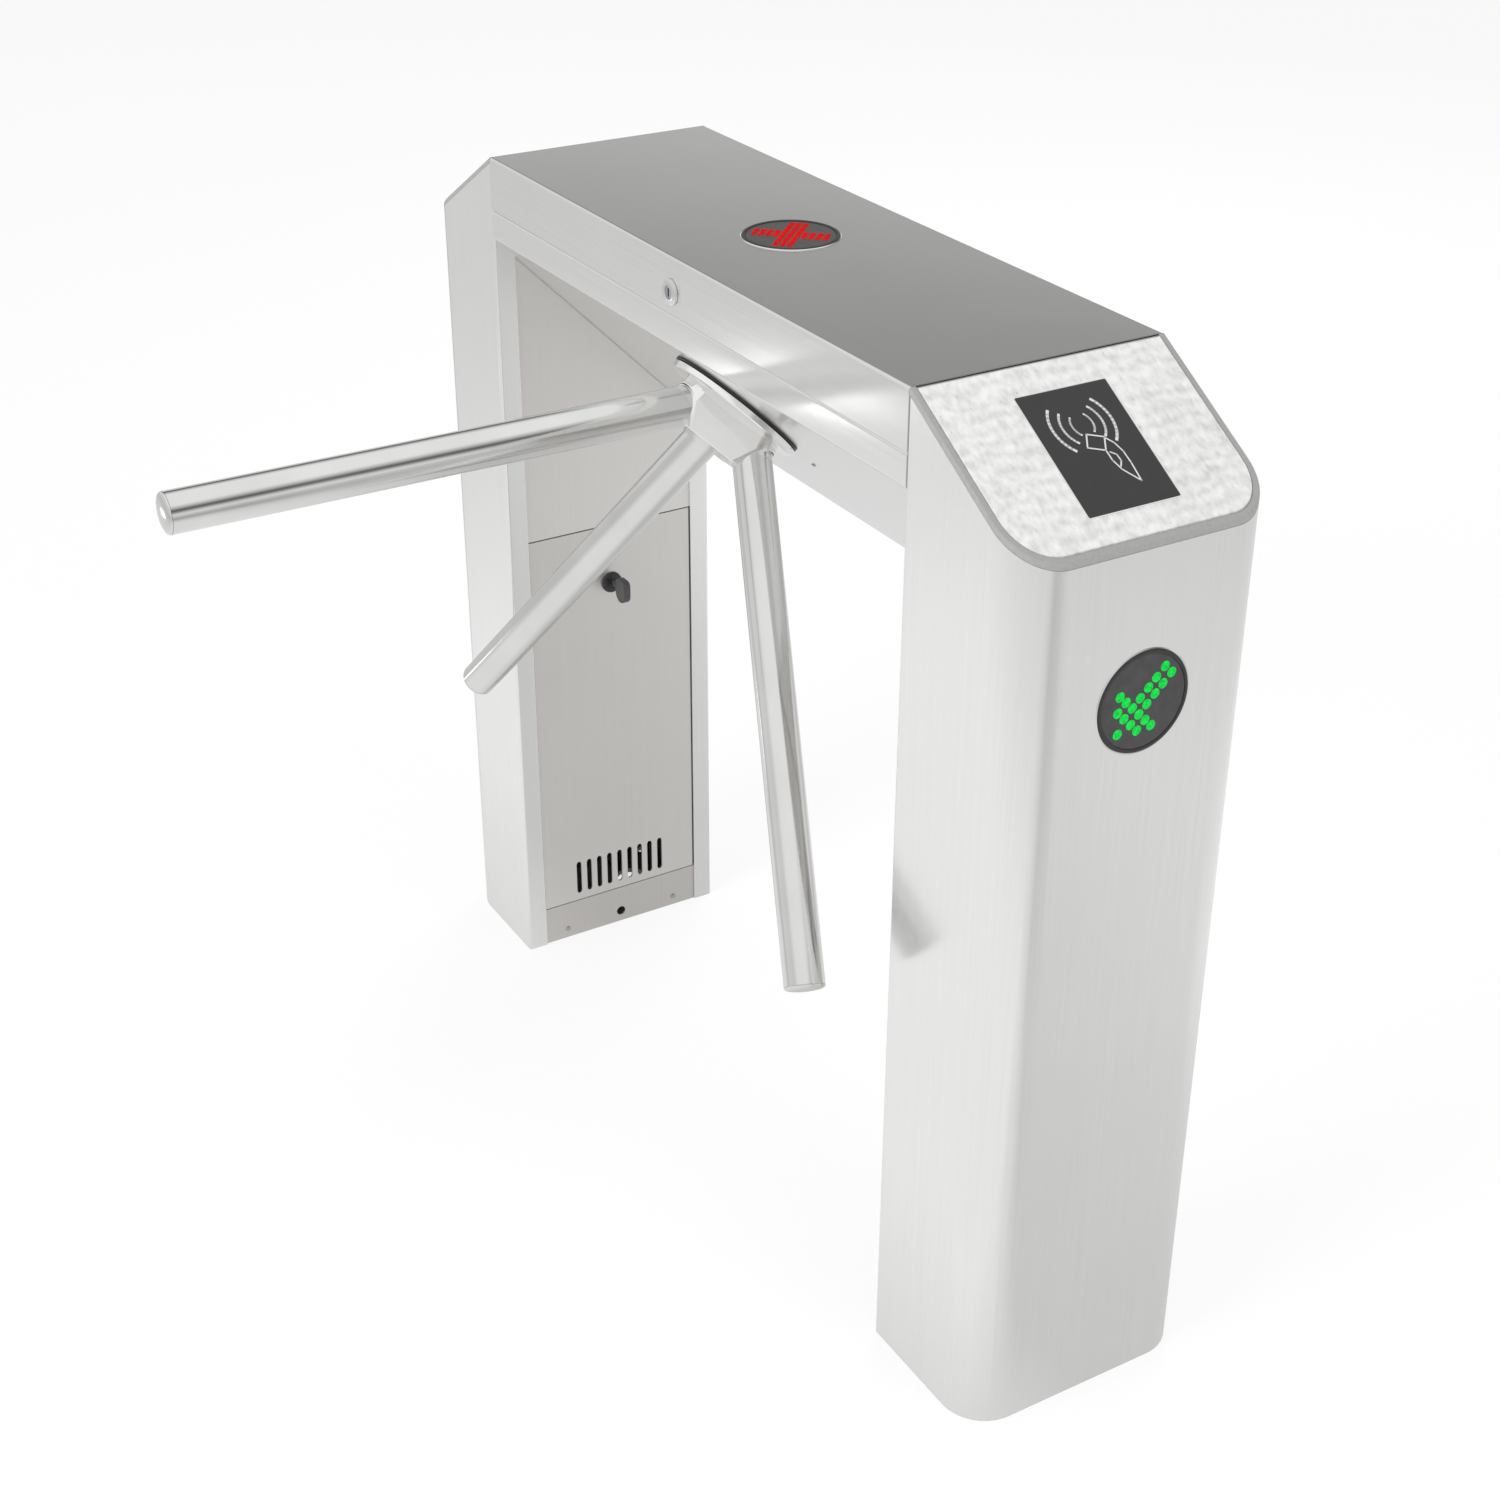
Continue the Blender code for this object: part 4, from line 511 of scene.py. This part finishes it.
# %% Make the moulding and its face plate
def slope_moulding():
    slab = leg_block(0.0, -rim_band + 0.0012, top_z - slope_drop - 0.05)
    bm = slope_slab(slab, 0.0, -rim_height)
    top = [face for face in bm.faces if face.normal.dot(slope_normal) > 0.999]
    outer_edges = [edge for face in top for edge in face.edges]
    bmesh.ops.inset_region(bm, faces=top, thickness=rim_band, use_even_offset=True)
    bmesh.ops.inset_region(bm, faces=top, thickness=0.0004, depth=-0.0011, use_even_offset=True)
    round_edges(bm, [edge for edge in outer_edges if edge.is_valid], 0.0016, 4)
    cut_away(bm, (inner_x + 0.0003, 0, 0), (-1, 0, 0))
    return bm


def face_plate():
    slab = leg_block(rim_band + 0.0006, 0.0022, top_z - slope_drop - 0.05)
    bm = slope_slab(slab, 0.0001, -0.0026)
    top = [face for face in bm.faces if face.normal.dot(slope_normal) > 0.999]
    round_edges(bm, [edge for face in top for edge in face.edges], 0.0006, 3)
    return bm


for side in ("near", "far"):
    rim, plate = slope_moulding(), face_plate()
    if side == "far":
        rim, plate = to_far_side(rim), to_far_side(plate)
    finish_piece(rim, side + "_moulding", rim_grey, "cabinet", (side + "_slope_rim",))
    names = (side + "_slope_plate",)
    finish_piece(plate, side + "_face_plate", plate_finish, "cabinet", names)

# %% [markdown]
# The reader's window lies in the plate with a thin bright edge round it. Everything on it is drawn
# flat, x across and y up the slope, and then laid on the slope by one matrix.

# %% Set up the slope's own frame
def slope_place(side):
    across = Vector((0, 1, 0)) if side == "near" else Vector((0, -1, 0))
    sign = 1 if side == "near" else -1
    uphill = Vector((-sign * leg_depth, 0, slope_drop)).normalized()
    crest = Vector((sign * inner_x, middle_y, top_z))
    turn = Matrix((across, uphill, across.cross(uphill))).transposed().to_4x4()
    return Matrix.Translation(crest) @ turn


def flat_tile(x0, y0, x1, y1, low, high, radius, soften):
    bm = block((x0, y0, low), (x1, y1, high))
    upright = [edge for edge in bm.edges if abs(edge.verts[0].co.z - edge.verts[1].co.z) > 1e-5]
    round_edges(bm, upright, radius, 4)
    top = [face for face in bm.faces if face.normal.z > 0.9]
    round_edges(bm, [edge for face in top for edge in face.edges], soften, 2)
    return bm


print("slope is", round(slope_length, 4), "m long")

# %% [markdown]
# The sign on the window is printed on the real object. Here it is a plain one that says what to
# do: waves on both sides of a card in a hand. Each line is a row of thin raised blocks, because a
# raised line catches the light and stays sharp from near by.


# %% Draw the reader's sign
def stroke(bm, points, width, low, high, closed=False):
    """Thin raised line through points, one small block for each stretch."""
    ends = points[1:] + ([points[0]] if closed else [])
    for start, end in zip(points, ends):
        start, end = Vector(start), Vector(end)
        run = end - start
        half_run = run.length / 2 + width * 0.4
        piece = block((-half_run, -width / 2, low), (half_run, width / 2, high))
        middle = (start + end) / 2
        turn = Matrix.Rotation(math.atan2(run.y, run.x), 4, "Z")
        absorb(bm, piece, Matrix.Translation((middle.x, middle.y, 0)) @ turn)


window_half = 0.0453
window_top, window_bottom = -0.032, -0.1545


def arc_points(centre, radius, start, end, steps=12):
    angles = [math.radians(start + (end - start) * step / steps) for step in range(steps + 1)]
    return [(centre[0] + radius * math.cos(a), centre[1] + radius * math.sin(a)) for a in angles]


def reader_drawing():
    """Radio waves on both sides of a card that a hand holds out, in thin light lines."""
    bm = bmesh.new()
    low, high = 0.0005, 0.00095
    for radius, width in ((0.014, 0.0018), (0.0235, 0.0022), (0.033, 0.0026)):
        stroke(bm, arc_points((0.0027, -0.070), radius, 144, 224), width, low, high)
        stroke(bm, arc_points((-0.0050, -0.070), radius, -40, 40), width, low, high)
    card = [(-0.0032, -0.080), (0.0112, -0.086), (0.0050, -0.0985), (-0.0095, -0.0925)]
    stroke(bm, card, 0.0014, low, high, closed=True)
    back = [(0.0112, -0.0870), (0.0165, -0.0935), (0.0195, -0.1030), (0.0200, -0.1150)]
    back.append((0.0190, -0.1330))
    stroke(bm, back, 0.0014, low, high)
    palm = [(0.0050, -0.0985), (0.0052, -0.1090), (0.0085, -0.1190), (0.0190, -0.1330)]
    stroke(bm, palm, 0.0014, low, high)
    thumb = [(0.0078, -0.1010), (0.0120, -0.1045), (0.0125, -0.1110), (0.0092, -0.1160)]
    stroke(bm, thumb, 0.0013, low, high)
    return bm


# %% Lay window and sign on the slope
def window_tile(margin, high, radius, soften_edge):
    low_corner = (-window_half - margin, window_bottom - margin)
    high_corner = (window_half + margin, window_top + margin)
    return flat_tile(*low_corner, *high_corner, -0.002, high, radius, soften_edge)


for side in ("near", "far"):
    place = slope_place(side)
    edge = window_tile(0.0012, 0.00028, 0.0018, 0.0001)
    edge.transform(place)
    finish_piece(edge, side + "_window_edge", lock_chrome, "cabinet", ())
    pane = window_tile(0.0, 0.00055, 0.0012, 0.0002)
    pane.transform(place)
    reader = (side + "_reader",)
    finish_piece(pane, side + "_window", window_black, "cabinet", reader)
    drawing = reader_drawing()
    drawing.transform(place)
    finish_piece(drawing, side + "_reader_drawing", lock_chrome, "cabinet", ())

# %% [markdown]
# ## The round displays
# A display is a dark disc in a turned ring with a thin bright edge. The lamps on it are small
# truncated cones on a square grid: an arrow of green ones on each end, and a cross of red ones on
# the lid.

# %% Turn the rings and discs
def display(name, place, body):
    ring = [
        (0.0425, -0.004),
        (0.0425, 0.0013),
        (0.0432, 0.0017),
        (0.0450, 0.0017),
        (0.0457, 0.0013),
        (0.0460, 0.0008),
        (0.0460, 0.0002),
        (0.0440, -0.004),
    ]
    bm, bezel = turned(ring, place), (name + "_indicator_bezel",)
    finish_piece(bm, name + "_display_ring", moulded_black, body, bezel)
    disc = [(0.0, 0.0010), (0.0420, 0.0010), (0.0424, 0.0007), (0.0424, -0.003), (0.0, -0.003)]
    bm, lens = turned(disc, place), (name + "_indicator_lens",)
    finish_piece(bm, name + "_display_disc", display_black, body, lens)
    edge = [(0.0460, -0.0010), (0.0460, 0.0006), (0.0466, 0.0009), (0.0474, 0.0003)]
    edge.append((0.0474, -0.0010))
    bm = turned(edge, place)
    finish_piece(bm, name + "_display_edge", lock_chrome, body, ())


def axes_place(origin, x_axis, y_axis):
    x_axis, y_axis = Vector(x_axis), Vector(y_axis)
    turn = Matrix((x_axis, y_axis, x_axis.cross(y_axis))).transposed().to_4x4()
    return Matrix.Translation(origin) @ turn


display_height = 0.741
near_display = axes_place((outer_x, middle_y, display_height), (0, 1, 0), (0, 0, 1))
far_display = axes_place((-outer_x, middle_y, display_height), (0, -1, 0), (0, 0, 1))
top_display = axes_place((0, middle_y, top_z), (1, 0, 0), (0, 1, 0))
display("near", near_display, "cabinet")
display("far", far_display, "cabinet")
display("top", top_display, "lid_cover")

# %% [markdown]
# The lamps stand on a grid that is turned by 45 degrees, so the arrow points down to the left and
# the cross lies square to the lid's edges. A short cone with a narrower top has a lit rim, which
# a flat disc would not.

# %% Set the lamps
def lamps(spots, radius):
    bm = bmesh.new()
    for x, y in spots:
        bmesh.ops.create_cone(
            bm,
            cap_ends=True,
            segments=16,
            radius1=radius,
            radius2=radius * 0.75,
            depth=0.0009,
            matrix=Matrix.Translation((x, y, 0.0010)),
        )
    return bm


def on_the_slant(spots, pitch):
    """Turns grid places by 45 degrees and spreads them."""
    slant = math.sqrt(0.5) * pitch
    return [((along + across) * slant, (along - across) * slant) for along, across in spots]


def arrow_spots(pitch):
    """An arrow pointing down to the left: a shaft of pairs, a broad head, a tip."""
    rows = [(3.2, (-0.5, 0.5)), (2.1, (-0.5, 0.5)), (1.1, (-0.5, 0.5)), (0.05, (-0.5, 0.5))]
    rows.append((-0.95, (-2.35, -1.45, -0.5, 0.5, 1.45, 2.35)))
    rows.append((-2.0, (-1.45, -0.5, 0.5, 1.45)))
    rows.append((-3.25, (0.0,)))
    return on_the_slant([(along, across) for along, row in rows for across in row], pitch)


def cross_spots(pitch, reach):
    """A diagonal cross, three rows wide."""
    steps = range(-6, 7)
    grid = [(along, across) for along in steps for across in steps]
    arms = [spot for spot in grid if min(abs(spot[0]), abs(spot[1])) < 2]
    return [spot for spot in on_the_slant(arms, pitch) if math.hypot(*spot) < reach]


arrow_pitch, arrow_lamp = 0.0104, 0.0053
cross_pitch, cross_reach, cross_lamp = 0.0068, 0.0385, 0.0036
arrow = lamps(arrow_spots(arrow_pitch), arrow_lamp)
arrow.transform(near_display)
finish_piece(arrow, "near_arrow", lamp_green, "cabinet", ())
arrow = lamps([(-x, y) for x, y in arrow_spots(arrow_pitch)], arrow_lamp)
arrow.transform(far_display)
finish_piece(arrow, "far_arrow", lamp_green, "cabinet", ())
cross = lamps(cross_spots(cross_pitch, cross_reach), cross_lamp)
cross.transform(top_display)
finish_piece(cross, "top_cross", lamp_red, "lid_cover", ())

# %% [markdown]
# ## The bridge and its lid
# Their shape is right in the solids: sheet folded on a small radius. A copy with its loose
# triangles merged can be shaded smoothly across the folds, which a hard edge would not show.

# %% Smooth the folded sheet
merged_copy("bridge_shell", "bridge_skin", bridge_steel, "cabinet", 50.0)
merged_copy("lid", "lid_skin", lid_steel, "lid_cover", 50.0)
for name, body in (("lid_hinge_fixed_leaf", "cabinet"), ("lid_hinge_moving_leaf", "lid_cover")):
    merged_copy(name, name + "_smooth", bridge_steel, body, 40.0)

# %% [markdown]
# ## The tripod
# Hub and arms turn about an axis square to the slanted underside. The arms leave one point at 45
# degrees to that axis, so one of them always lies level. The frame below has its Z pointing into
# the cabinet, its X along it and its Y down the slant.

# %% Set up the tripod's frame
root = math.sqrt(0.5)
hub_along_slope = 0.098
wall_edge = 0.895
hub_step = hub_along_slope * root
hub_centre = Vector((0, middle_y - half_width + hub_step, wall_edge - hub_step))
tripod = Matrix(((1, 0, 0, 0), (0, root, root, 0), (0, -root, root, 0), (0, 0, 0, 1)))
tripod.translation = hub_centre
apex_depth = 0.013
apex = tripod @ Vector((0, 0, apex_depth))
arm_reach = 0.5715
socket_face = 0.064


def arm_place(index):
    turn = math.radians(120 * index)
    outward = Vector((math.sin(turn), -math.cos(turn), 0)) * root
    direction = (tripod.to_3x3() @ (outward + Vector((0, 0, -root)))).normalized()
    side = tripod.to_3x3() @ Vector((0.1, 0.2, 1.0))
    side = (side - side.dot(direction) * direction).normalized()
    turned_to = Matrix((side, direction.cross(side), direction)).transposed().to_4x4()
    return Matrix.Translation(apex) @ turned_to


print("arms meet at", [round(c, 4) for c in apex])

# %% [markdown]
# The arms are cut from plain tube and closed with a pressed cap. Both are round about the arm's
# own line, so an outline is turned about it, with enough steps that no facet shows in the polish.

# %% Turn the arms and their caps
arm_names = ("level", "near", "far")
tube_radius, tube_bore = 0.0190, 0.0170
tube_start, tube_end = socket_face - 0.0165, arm_reach - 0.0043
for index, name in enumerate(arm_names):
    tube = [
        (tube_radius, tube_end),
        (tube_radius, tube_start),
        (tube_bore, tube_start),
        (tube_bore, tube_end),
    ]
    place = arm_place(index)
    bm, arm = turned(tube, place), (name + "_arm",)
    finish_piece(bm, name + "_tube", arm_chrome, "tripod", arm)
    end = arm_reach
    cap = [
        (0.0, end),
        (0.0110, end - 0.0003),
        (0.0155, end - 0.0010),
        (0.0178, end - 0.0020),
        (0.0188, end - 0.0032),
        (tube_radius, end - 0.0040),
        (0.0166, end - 0.0040),
        (0.0162, end - 0.0170),
        (0.0, end - 0.0170),
    ]
    bm, arm_cap = turned(cap, place), (name + "_arm_cap",)
    finish_piece(bm, name + "_cap", arm_chrome, "tripod", arm_cap)

# %% [markdown]
# The hub is a casting with three flat sides, a six-sided front and a boss round each arm. A
# convex hull round circles at its foot, its bosses and its front gives just that form. A bevel
# softens the front edge as casting and polishing do, and a dark ring where each tube enters its
# boss is painted shade of the joint.

# %% Cast the hub
def hub_body():
    bm = bmesh.new()
    side_reach, front_half, front_round, front_height = 0.043, 0.0225, 0.006, -0.049
    foot_reach, foot_radius, foot_height, boss_radius = 0.0345, 0.0245, -0.0090, 0.0218
    for index in range(3):
        turn = math.radians(120 * index)
        corner = Vector((math.sin(turn), -math.cos(turn), 0))
        foot = Matrix.Translation(corner * foot_reach + Vector((0, 0, foot_height)))
        bmesh.ops.create_circle(bm, segments=48, radius=foot_radius, matrix=foot)
        face = tripod.inverted() @ arm_place(index) @ Matrix.Translation((0, 0, socket_face))
        bmesh.ops.create_circle(bm, segments=48, radius=boss_radius, matrix=face)
        along = Vector((corner.y, -corner.x, 0))
        for half in (-front_half, front_half):
            spot = -corner * (side_reach - front_round) + along * half
            here = Matrix.Translation(spot + Vector((0, 0, front_height)))
            bmesh.ops.create_circle(bm, segments=24, radius=front_round, matrix=here)
    made = bmesh.ops.convex_hull(bm, input=bm.verts)
    spare = made["geom_interior"] + made["geom_unused"]
    inner_verts = {item for item in spare if isinstance(item, bmesh.types.BMVert)}
    bmesh.ops.delete(bm, geom=list(inner_verts), context="VERTS")
    bmesh.ops.dissolve_limit(bm, angle_limit=math.radians(0.5), verts=bm.verts, edges=bm.edges)
    front = [face for face in bm.faces if face.normal.z < -0.99]
    round_edges(bm, list({edge for face in front for edge in face.edges}), 0.0016, 4)
    bm.transform(tripod)
    return bm


finish_piece(hub_body(), "hub_casting", hub_chrome, "tripod", ("hub",))
flange = [
    (0.020, -0.0024),
    (0.0700, -0.0024),
    (0.0705, -0.0029),
    (0.0705, -0.0082),
    (0.0695, -0.0094),
    (0.0680, -0.0098),
    (0.020, -0.0098),
]
finish_piece(turned(flange, tripod), "hub_flange", hub_chrome, "tripod", ())
collar = [
    (0.021, -0.0003),
    (0.0712, -0.0003),
    (0.0716, -0.0006),
    (0.0716, -0.0014),
    (0.0712, -0.0017),
    (0.021, -0.0017),
]
bm, hub_collar = turned(collar, tripod), ("hub_collar",)
finish_piece(bm, "collar_ring", moulded_black, "cabinet", hub_collar)
# Each ring is painted shade where the tube meets its boss.
seam_low, seam_high = socket_face - 0.001, socket_face + 0.0008
for index, name in enumerate(arm_names):
    seam = [(0.0188, seam_low), (0.0188, seam_high), (0.0208, seam_high - 0.0002)]
    seam.append((0.0212, seam_low))
    bm = turned(seam, arm_place(index))
    finish_piece(bm, name + "_seam", joint_shade, "tripod", ())

# %% [markdown]
# ## Locks, key and small fixings
# The locks are turned parts with a real keyway in the solids, so merged copies carry them. The
# key is moulded, so its copy gets a small bevel on every edge.

# %% Dress the locks and the key
for side in ("near", "far"):
    housing = side + "_door_lock_housing"
    merged_copy(housing, side + "_lock_head", moulded_black, side + "_panel", 40.0)
    cam = side + "_door_lock_cam"
    merged_copy(cam, side + "_lock_plug", moulded_black, side + "_cam", 40.0)
merged_copy("lid_lock_housing", "lid_lock_head", lock_chrome, "lid_cover", 40.0)
merged_copy("lid_lock_cam", "lid_lock_plug", machined, "lid_cam", 40.0)
key = merged_copy("far_door_key", "door_key", key_grey, "far_cam", 40.0)
soft_edges = key.modifiers.new("soften", "BEVEL")
soft_edges.width = 0.0006
soft_edges.segments = 2
soft_edges.limit_method = "ANGLE"
soft_edges.angle_limit = math.radians(30.0)
print("softened the key's edges by", round(soft_edges.width * 1000, 1), "mm")

# %% [markdown]
# The kick plates are held by small round-headed screws, and two tiny ones sit in the slant beside
# the hub. A head is an outline turned in few steps, since it is only a few pixels wide.

# %% Set the screws
def screw(place, radius=0.0035):
    head = [(0.0, 0.0014), (radius * 0.6, 0.0013), (radius, 0.0004)]
    return turned(head + [(radius, -0.001), (0.0, -0.001)], place, 20)


def side_place(side, y, z, out):
    sign = 1 if side == "near" else -1
    origin = Vector((sign * out, middle_y + y, z))
    return axes_place(origin, (0, -sign, 0), (0, 0, 1))


kick_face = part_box("near_kick_plate")[0].x
kick_spread, kick_height = 0.074, 0.012
for side in ("near", "far"):
    bm = bmesh.new()
    for y in (-kick_spread, kick_spread):
        absorb(bm, screw(side_place(side, y, kick_height, kick_face)))
    finish_piece(bm, side + "_kick_screws", machined, "cabinet", ())

slant_middle = Vector((0, middle_y, wall_edge - half_width))
slant_spread, slant_radius = 0.0465, 0.002
slant = bmesh.new()
for x in (-slant_spread, slant_spread):
    spot = slant_middle + Vector((x, 0, 0))
    absorb(slant, screw(axes_place(spot, (1, 0, 0), (0, root, -root)), slant_radius))
finish_piece(slant, "slant_screws", machined, "cabinet", ())

# %% [markdown]
# ## Finishes on the solids that keep their shape
# Flat sheet and everything inside the cabinet keep their CAD mesh. Only their material slots
# change.

# %% Paint the remaining solids
def paint(names, finish):
    for name in names:
        node = nodes[name]
        node.data.materials.clear()
        node.data.materials.append(finish)
    print("painted", len(names), "nodes with", finish.name)


both = ("near", "far")
paint([side + "_upper_panel" for side in both], upper_steel)
paint([side + "_door" for side in both], panel_steel)
paint([side + "_kick_plate" for side in both], kick_steel)
paint([side + "_" + name for side in both for name in ("door_frame", "base_plate")], zinc)
paint(["mechanism_plate", "main_shaft", "locking_disc", "bearing_housing", "hub_bolt"], machined)
paint(["entry_pawl", "exit_pawl", "entry_plunger", "exit_plunger"], machined)
paint(["drive_gear", "damper_pinion"], machined)
paint(["front_bearing", "rear_bearing"], lock_chrome)
paint(["damper_body", "entry_solenoid", "exit_solenoid"], moulded_black)
paint(["control_board"], board_green)

# %% [markdown]
# ## The studio
# The floor is plain and pale and keeps the turnstile's shadow. Part of its brightness is its own,
# so that it meets the white background. The floor that shows in the steel fades with distance and
# from one side to the other, as it would under a few large lamps, and carries a painted shadow of
# the cabinet on the side away from the key lamp.

# %% Lay the floor
floor_bm = bmesh.new()
bmesh.ops.create_grid(floor_bm, x_segments=1, y_segments=1, size=20.0)
floor_mesh = bpy.data.meshes.new("floor")
floor_bm.to_mesh(floor_mesh)
floor_bm.free()
floor = bpy.data.objects.new("floor", floor_mesh)
bpy.context.scene.collection.objects.link(floor)
floor_paint, floor_tree, floor_shader = start_material("floor_paint", 0.9, 0.0)
floor_shader.inputs["Base Color"].default_value = (0.93, 0.93, 0.93, 1.0)
floor_shader.inputs["Specular IOR Level"].default_value = 0.0
floor_mesh.materials.append(floor_paint)
white = add_node(floor_tree, "ShaderNodeEmission", Color=(1.0, 1.0, 1.0, 1.0), Strength=1.04)
mirror_floor = add_node(floor_tree, "ShaderNodeEmission", Strength=0.95)
place = floor_tree.nodes.new("ShaderNodeTexCoord")
parts = floor_tree.nodes.new("ShaderNodeSeparateXYZ")
floor_tree.links.new(place.outputs["Object"], parts.inputs[0])


def floor_range(value, low, high, stops):
    """A grey ramp over a span of metres on the floor."""
    span = number_range(floor_tree, value, 0.0, 1.0)
    span.node.inputs["From Min"].default_value = low
    span.node.inputs["From Max"].default_value = high
    greys = [((at - low) / (high - low), (v, v, v)) for at, v in stops]
    return colour_range(floor_tree, span, greys)


def multiplied(first, second):
    product = add_node(floor_tree, "ShaderNodeMix", data_type="RGBA", blend_type="MULTIPLY")
    product.inputs[0].default_value = 1.0
    floor_tree.links.new(first, product.inputs[6])
    floor_tree.links.new(second, product.inputs[7])
    return product.outputs[2]


reach = add_node(floor_tree, "ShaderNodeVectorMath", operation="LENGTH")
floor_tree.links.new(place.outputs["Object"], reach.inputs[0])
far_stops = [(1.2, 1.0), (2.0, 0.84), (2.7, 0.75), (3.2, 0.72)]
far_off = floor_range(reach.outputs["Value"], 0.0, 4.0, far_stops)
# The dip from 0.24 to 0.40 m is that painted shadow of the cabinet.
side_stops = [(-0.06, 0.96), (0.10, 0.84), (0.24, 0.66), (0.40, 0.68), (0.67, 0.75), (1.04, 0.92)]
side_stops.append((1.44, 0.96))
across_y = floor_range(parts.outputs["Y"], -0.6, 1.8, side_stops)
floor_tree.links.new(multiplied(far_off, across_y), mirror_floor.inputs["Color"])
path = floor_tree.nodes.new("ShaderNodeLightPath")
blend = add_node(floor_tree, "ShaderNodeMixShader", Fac=0.74)
floor_tree.links.new(floor_shader.outputs[0], blend.inputs[1])
floor_tree.links.new(white.outputs[0], blend.inputs[2])
direct = floor_tree.nodes.new("ShaderNodeMixShader")
floor_tree.links.new(path.outputs["Is Camera Ray"], direct.inputs[0])
floor_tree.links.new(floor_shader.outputs[0], direct.inputs[1])
floor_tree.links.new(blend.outputs[0], direct.inputs[2])
both_ways = floor_tree.nodes.new("ShaderNodeMixShader")
floor_tree.links.new(path.outputs["Is Glossy Ray"], both_ways.inputs[0])
floor_tree.links.new(direct.outputs[0], both_ways.inputs[1])
floor_tree.links.new(mirror_floor.outputs[0], both_ways.inputs[2])
output = floor_tree.nodes["Material Output"]
floor_tree.links.new(both_ways.outputs[0], output.inputs["Surface"])
print("floor laid")

# %% [markdown]
# The world is white to the camera. For reflections it has a bright side behind the camera and a
# grey one opposite, as in a studio lit from one side, which gives the lid its darker tone and the
# arms their streaks. Each side is a ramp over height, and the two blend where they meet.

# %% Light the world
world = bpy.data.worlds.new("studio")
bpy.context.scene.world = world
world.use_nodes = True
tree = world.node_tree
tree.nodes.clear()
output = tree.nodes.new("ShaderNodeOutputWorld")
path = tree.nodes.new("ShaderNodeLightPath")
plain = add_node(tree, "ShaderNodeBackground", Color=(1.0, 1.0, 1.0, 1.0), Strength=0.68)
seen = add_node(tree, "ShaderNodeBackground", Color=(1.0, 1.0, 1.0, 1.0), Strength=1.0)
dim_side = add_node(tree, "ShaderNodeBackground", Strength=1.0)
bright_side = add_node(tree, "ShaderNodeBackground", Strength=1.0)
direction = tree.nodes.new("ShaderNodeTexCoord")
split = tree.nodes.new("ShaderNodeSeparateXYZ")
tree.links.new(direction.outputs["Generated"], split.inputs[0])
dim_stops = [(0.0, 0.85), (0.12, 0.80), (0.245, 0.48), (0.33, 0.22), (0.44, 0.12), (0.62, 0.60)]
dim_stops.append((0.78, 1.0))
bright_stops = [(0.0, 0.80), (0.40, 0.74), (0.56, 0.95), (1.0, 1.0)]
for shader, stops in ((dim_side, dim_stops), (bright_side, bright_stops)):
    sky = colour_range(tree, split.outputs["Z"], [(at, (v, v, v * 0.993)) for at, v in stops])
    tree.links.new(sky, shader.inputs["Color"])
turn_over = number_range(tree, split.outputs["Y"], 0.0, 1.0)
half_blend = 0.15
turn_over.node.inputs["From Min"].default_value = -half_blend
turn_over.node.inputs["From Max"].default_value = half_blend
mirrored = tree.nodes.new("ShaderNodeMixShader")
tree.links.new(turn_over, mirrored.inputs[0])
tree.links.new(bright_side.outputs[0], mirrored.inputs[1])
tree.links.new(dim_side.outputs[0], mirrored.inputs[2])
first = tree.nodes.new("ShaderNodeMixShader")
second = tree.nodes.new("ShaderNodeMixShader")
tree.links.new(path.outputs["Is Glossy Ray"], first.inputs[0])
tree.links.new(plain.outputs[0], first.inputs[1])
tree.links.new(mirrored.outputs[0], first.inputs[2])
straight = add_node(tree, "ShaderNodeMath", operation="MAXIMUM")
tree.links.new(path.outputs["Is Camera Ray"], straight.inputs[0])
tree.links.new(path.outputs["Is Transmission Ray"], straight.inputs[1])
tree.links.new(straight.outputs[0], second.inputs[0])
tree.links.new(first.outputs[0], second.inputs[1])
tree.links.new(seen.outputs[0], second.inputs[2])
tree.links.new(second.outputs[0], output.inputs["Surface"])
print("world lit")

# %% [markdown]
# Three large lamps light the cabinet from the front, the near end and behind. They don't show in
# the steel, where they would make hard white discs. A low strip far to the left does show, as the
# white band on the lid's front.

# %% Hang the soft lamps
def soft_lamp(name, place, target, size, power):
    data = bpy.data.lights.new(name, "AREA")
    data.shape = "DISK"
    data.size = size
    data.energy = power
    lamp_object = bpy.data.objects.new(name, data)
    lamp_object.visible_glossy = False
    aim = (Vector(target) - Vector(place)).to_track_quat("-Z", "Y")
    lamp_object.matrix_world = Matrix.Translation(place) @ aim.to_matrix().to_4x4()
    bpy.context.scene.collection.objects.link(lamp_object)
    return lamp_object


soft_lamp("key_lamp", (0.6, -3.4, 2.3), (0.1, 0.1, 0.6), 2.4, 75.0)
soft_lamp("end_lamp", (3.6, 1.2, 2.6), (0.3, 0.2, 0.6), 2.4, 35.0)
soft_lamp("back_lamp", (-2.4, 3.0, 3.0), (0.0, 0.2, 0.8), 2.4, 30.0)
bpy.context.scene.view_settings.view_transform = "Standard"

strip_place = Vector((-1.71, middle_y - 1.337, 0.088))
strip = soft_lamp("strip_lamp", strip_place, (0.23, middle_y - 0.1275, 0.947), 0.34, 0.12)
strip.data.shape = "RECTANGLE"
strip.data.size_y = 0.06
strip.visible_glossy = True
strip.visible_camera = False
print("three soft lamps and a low strip")
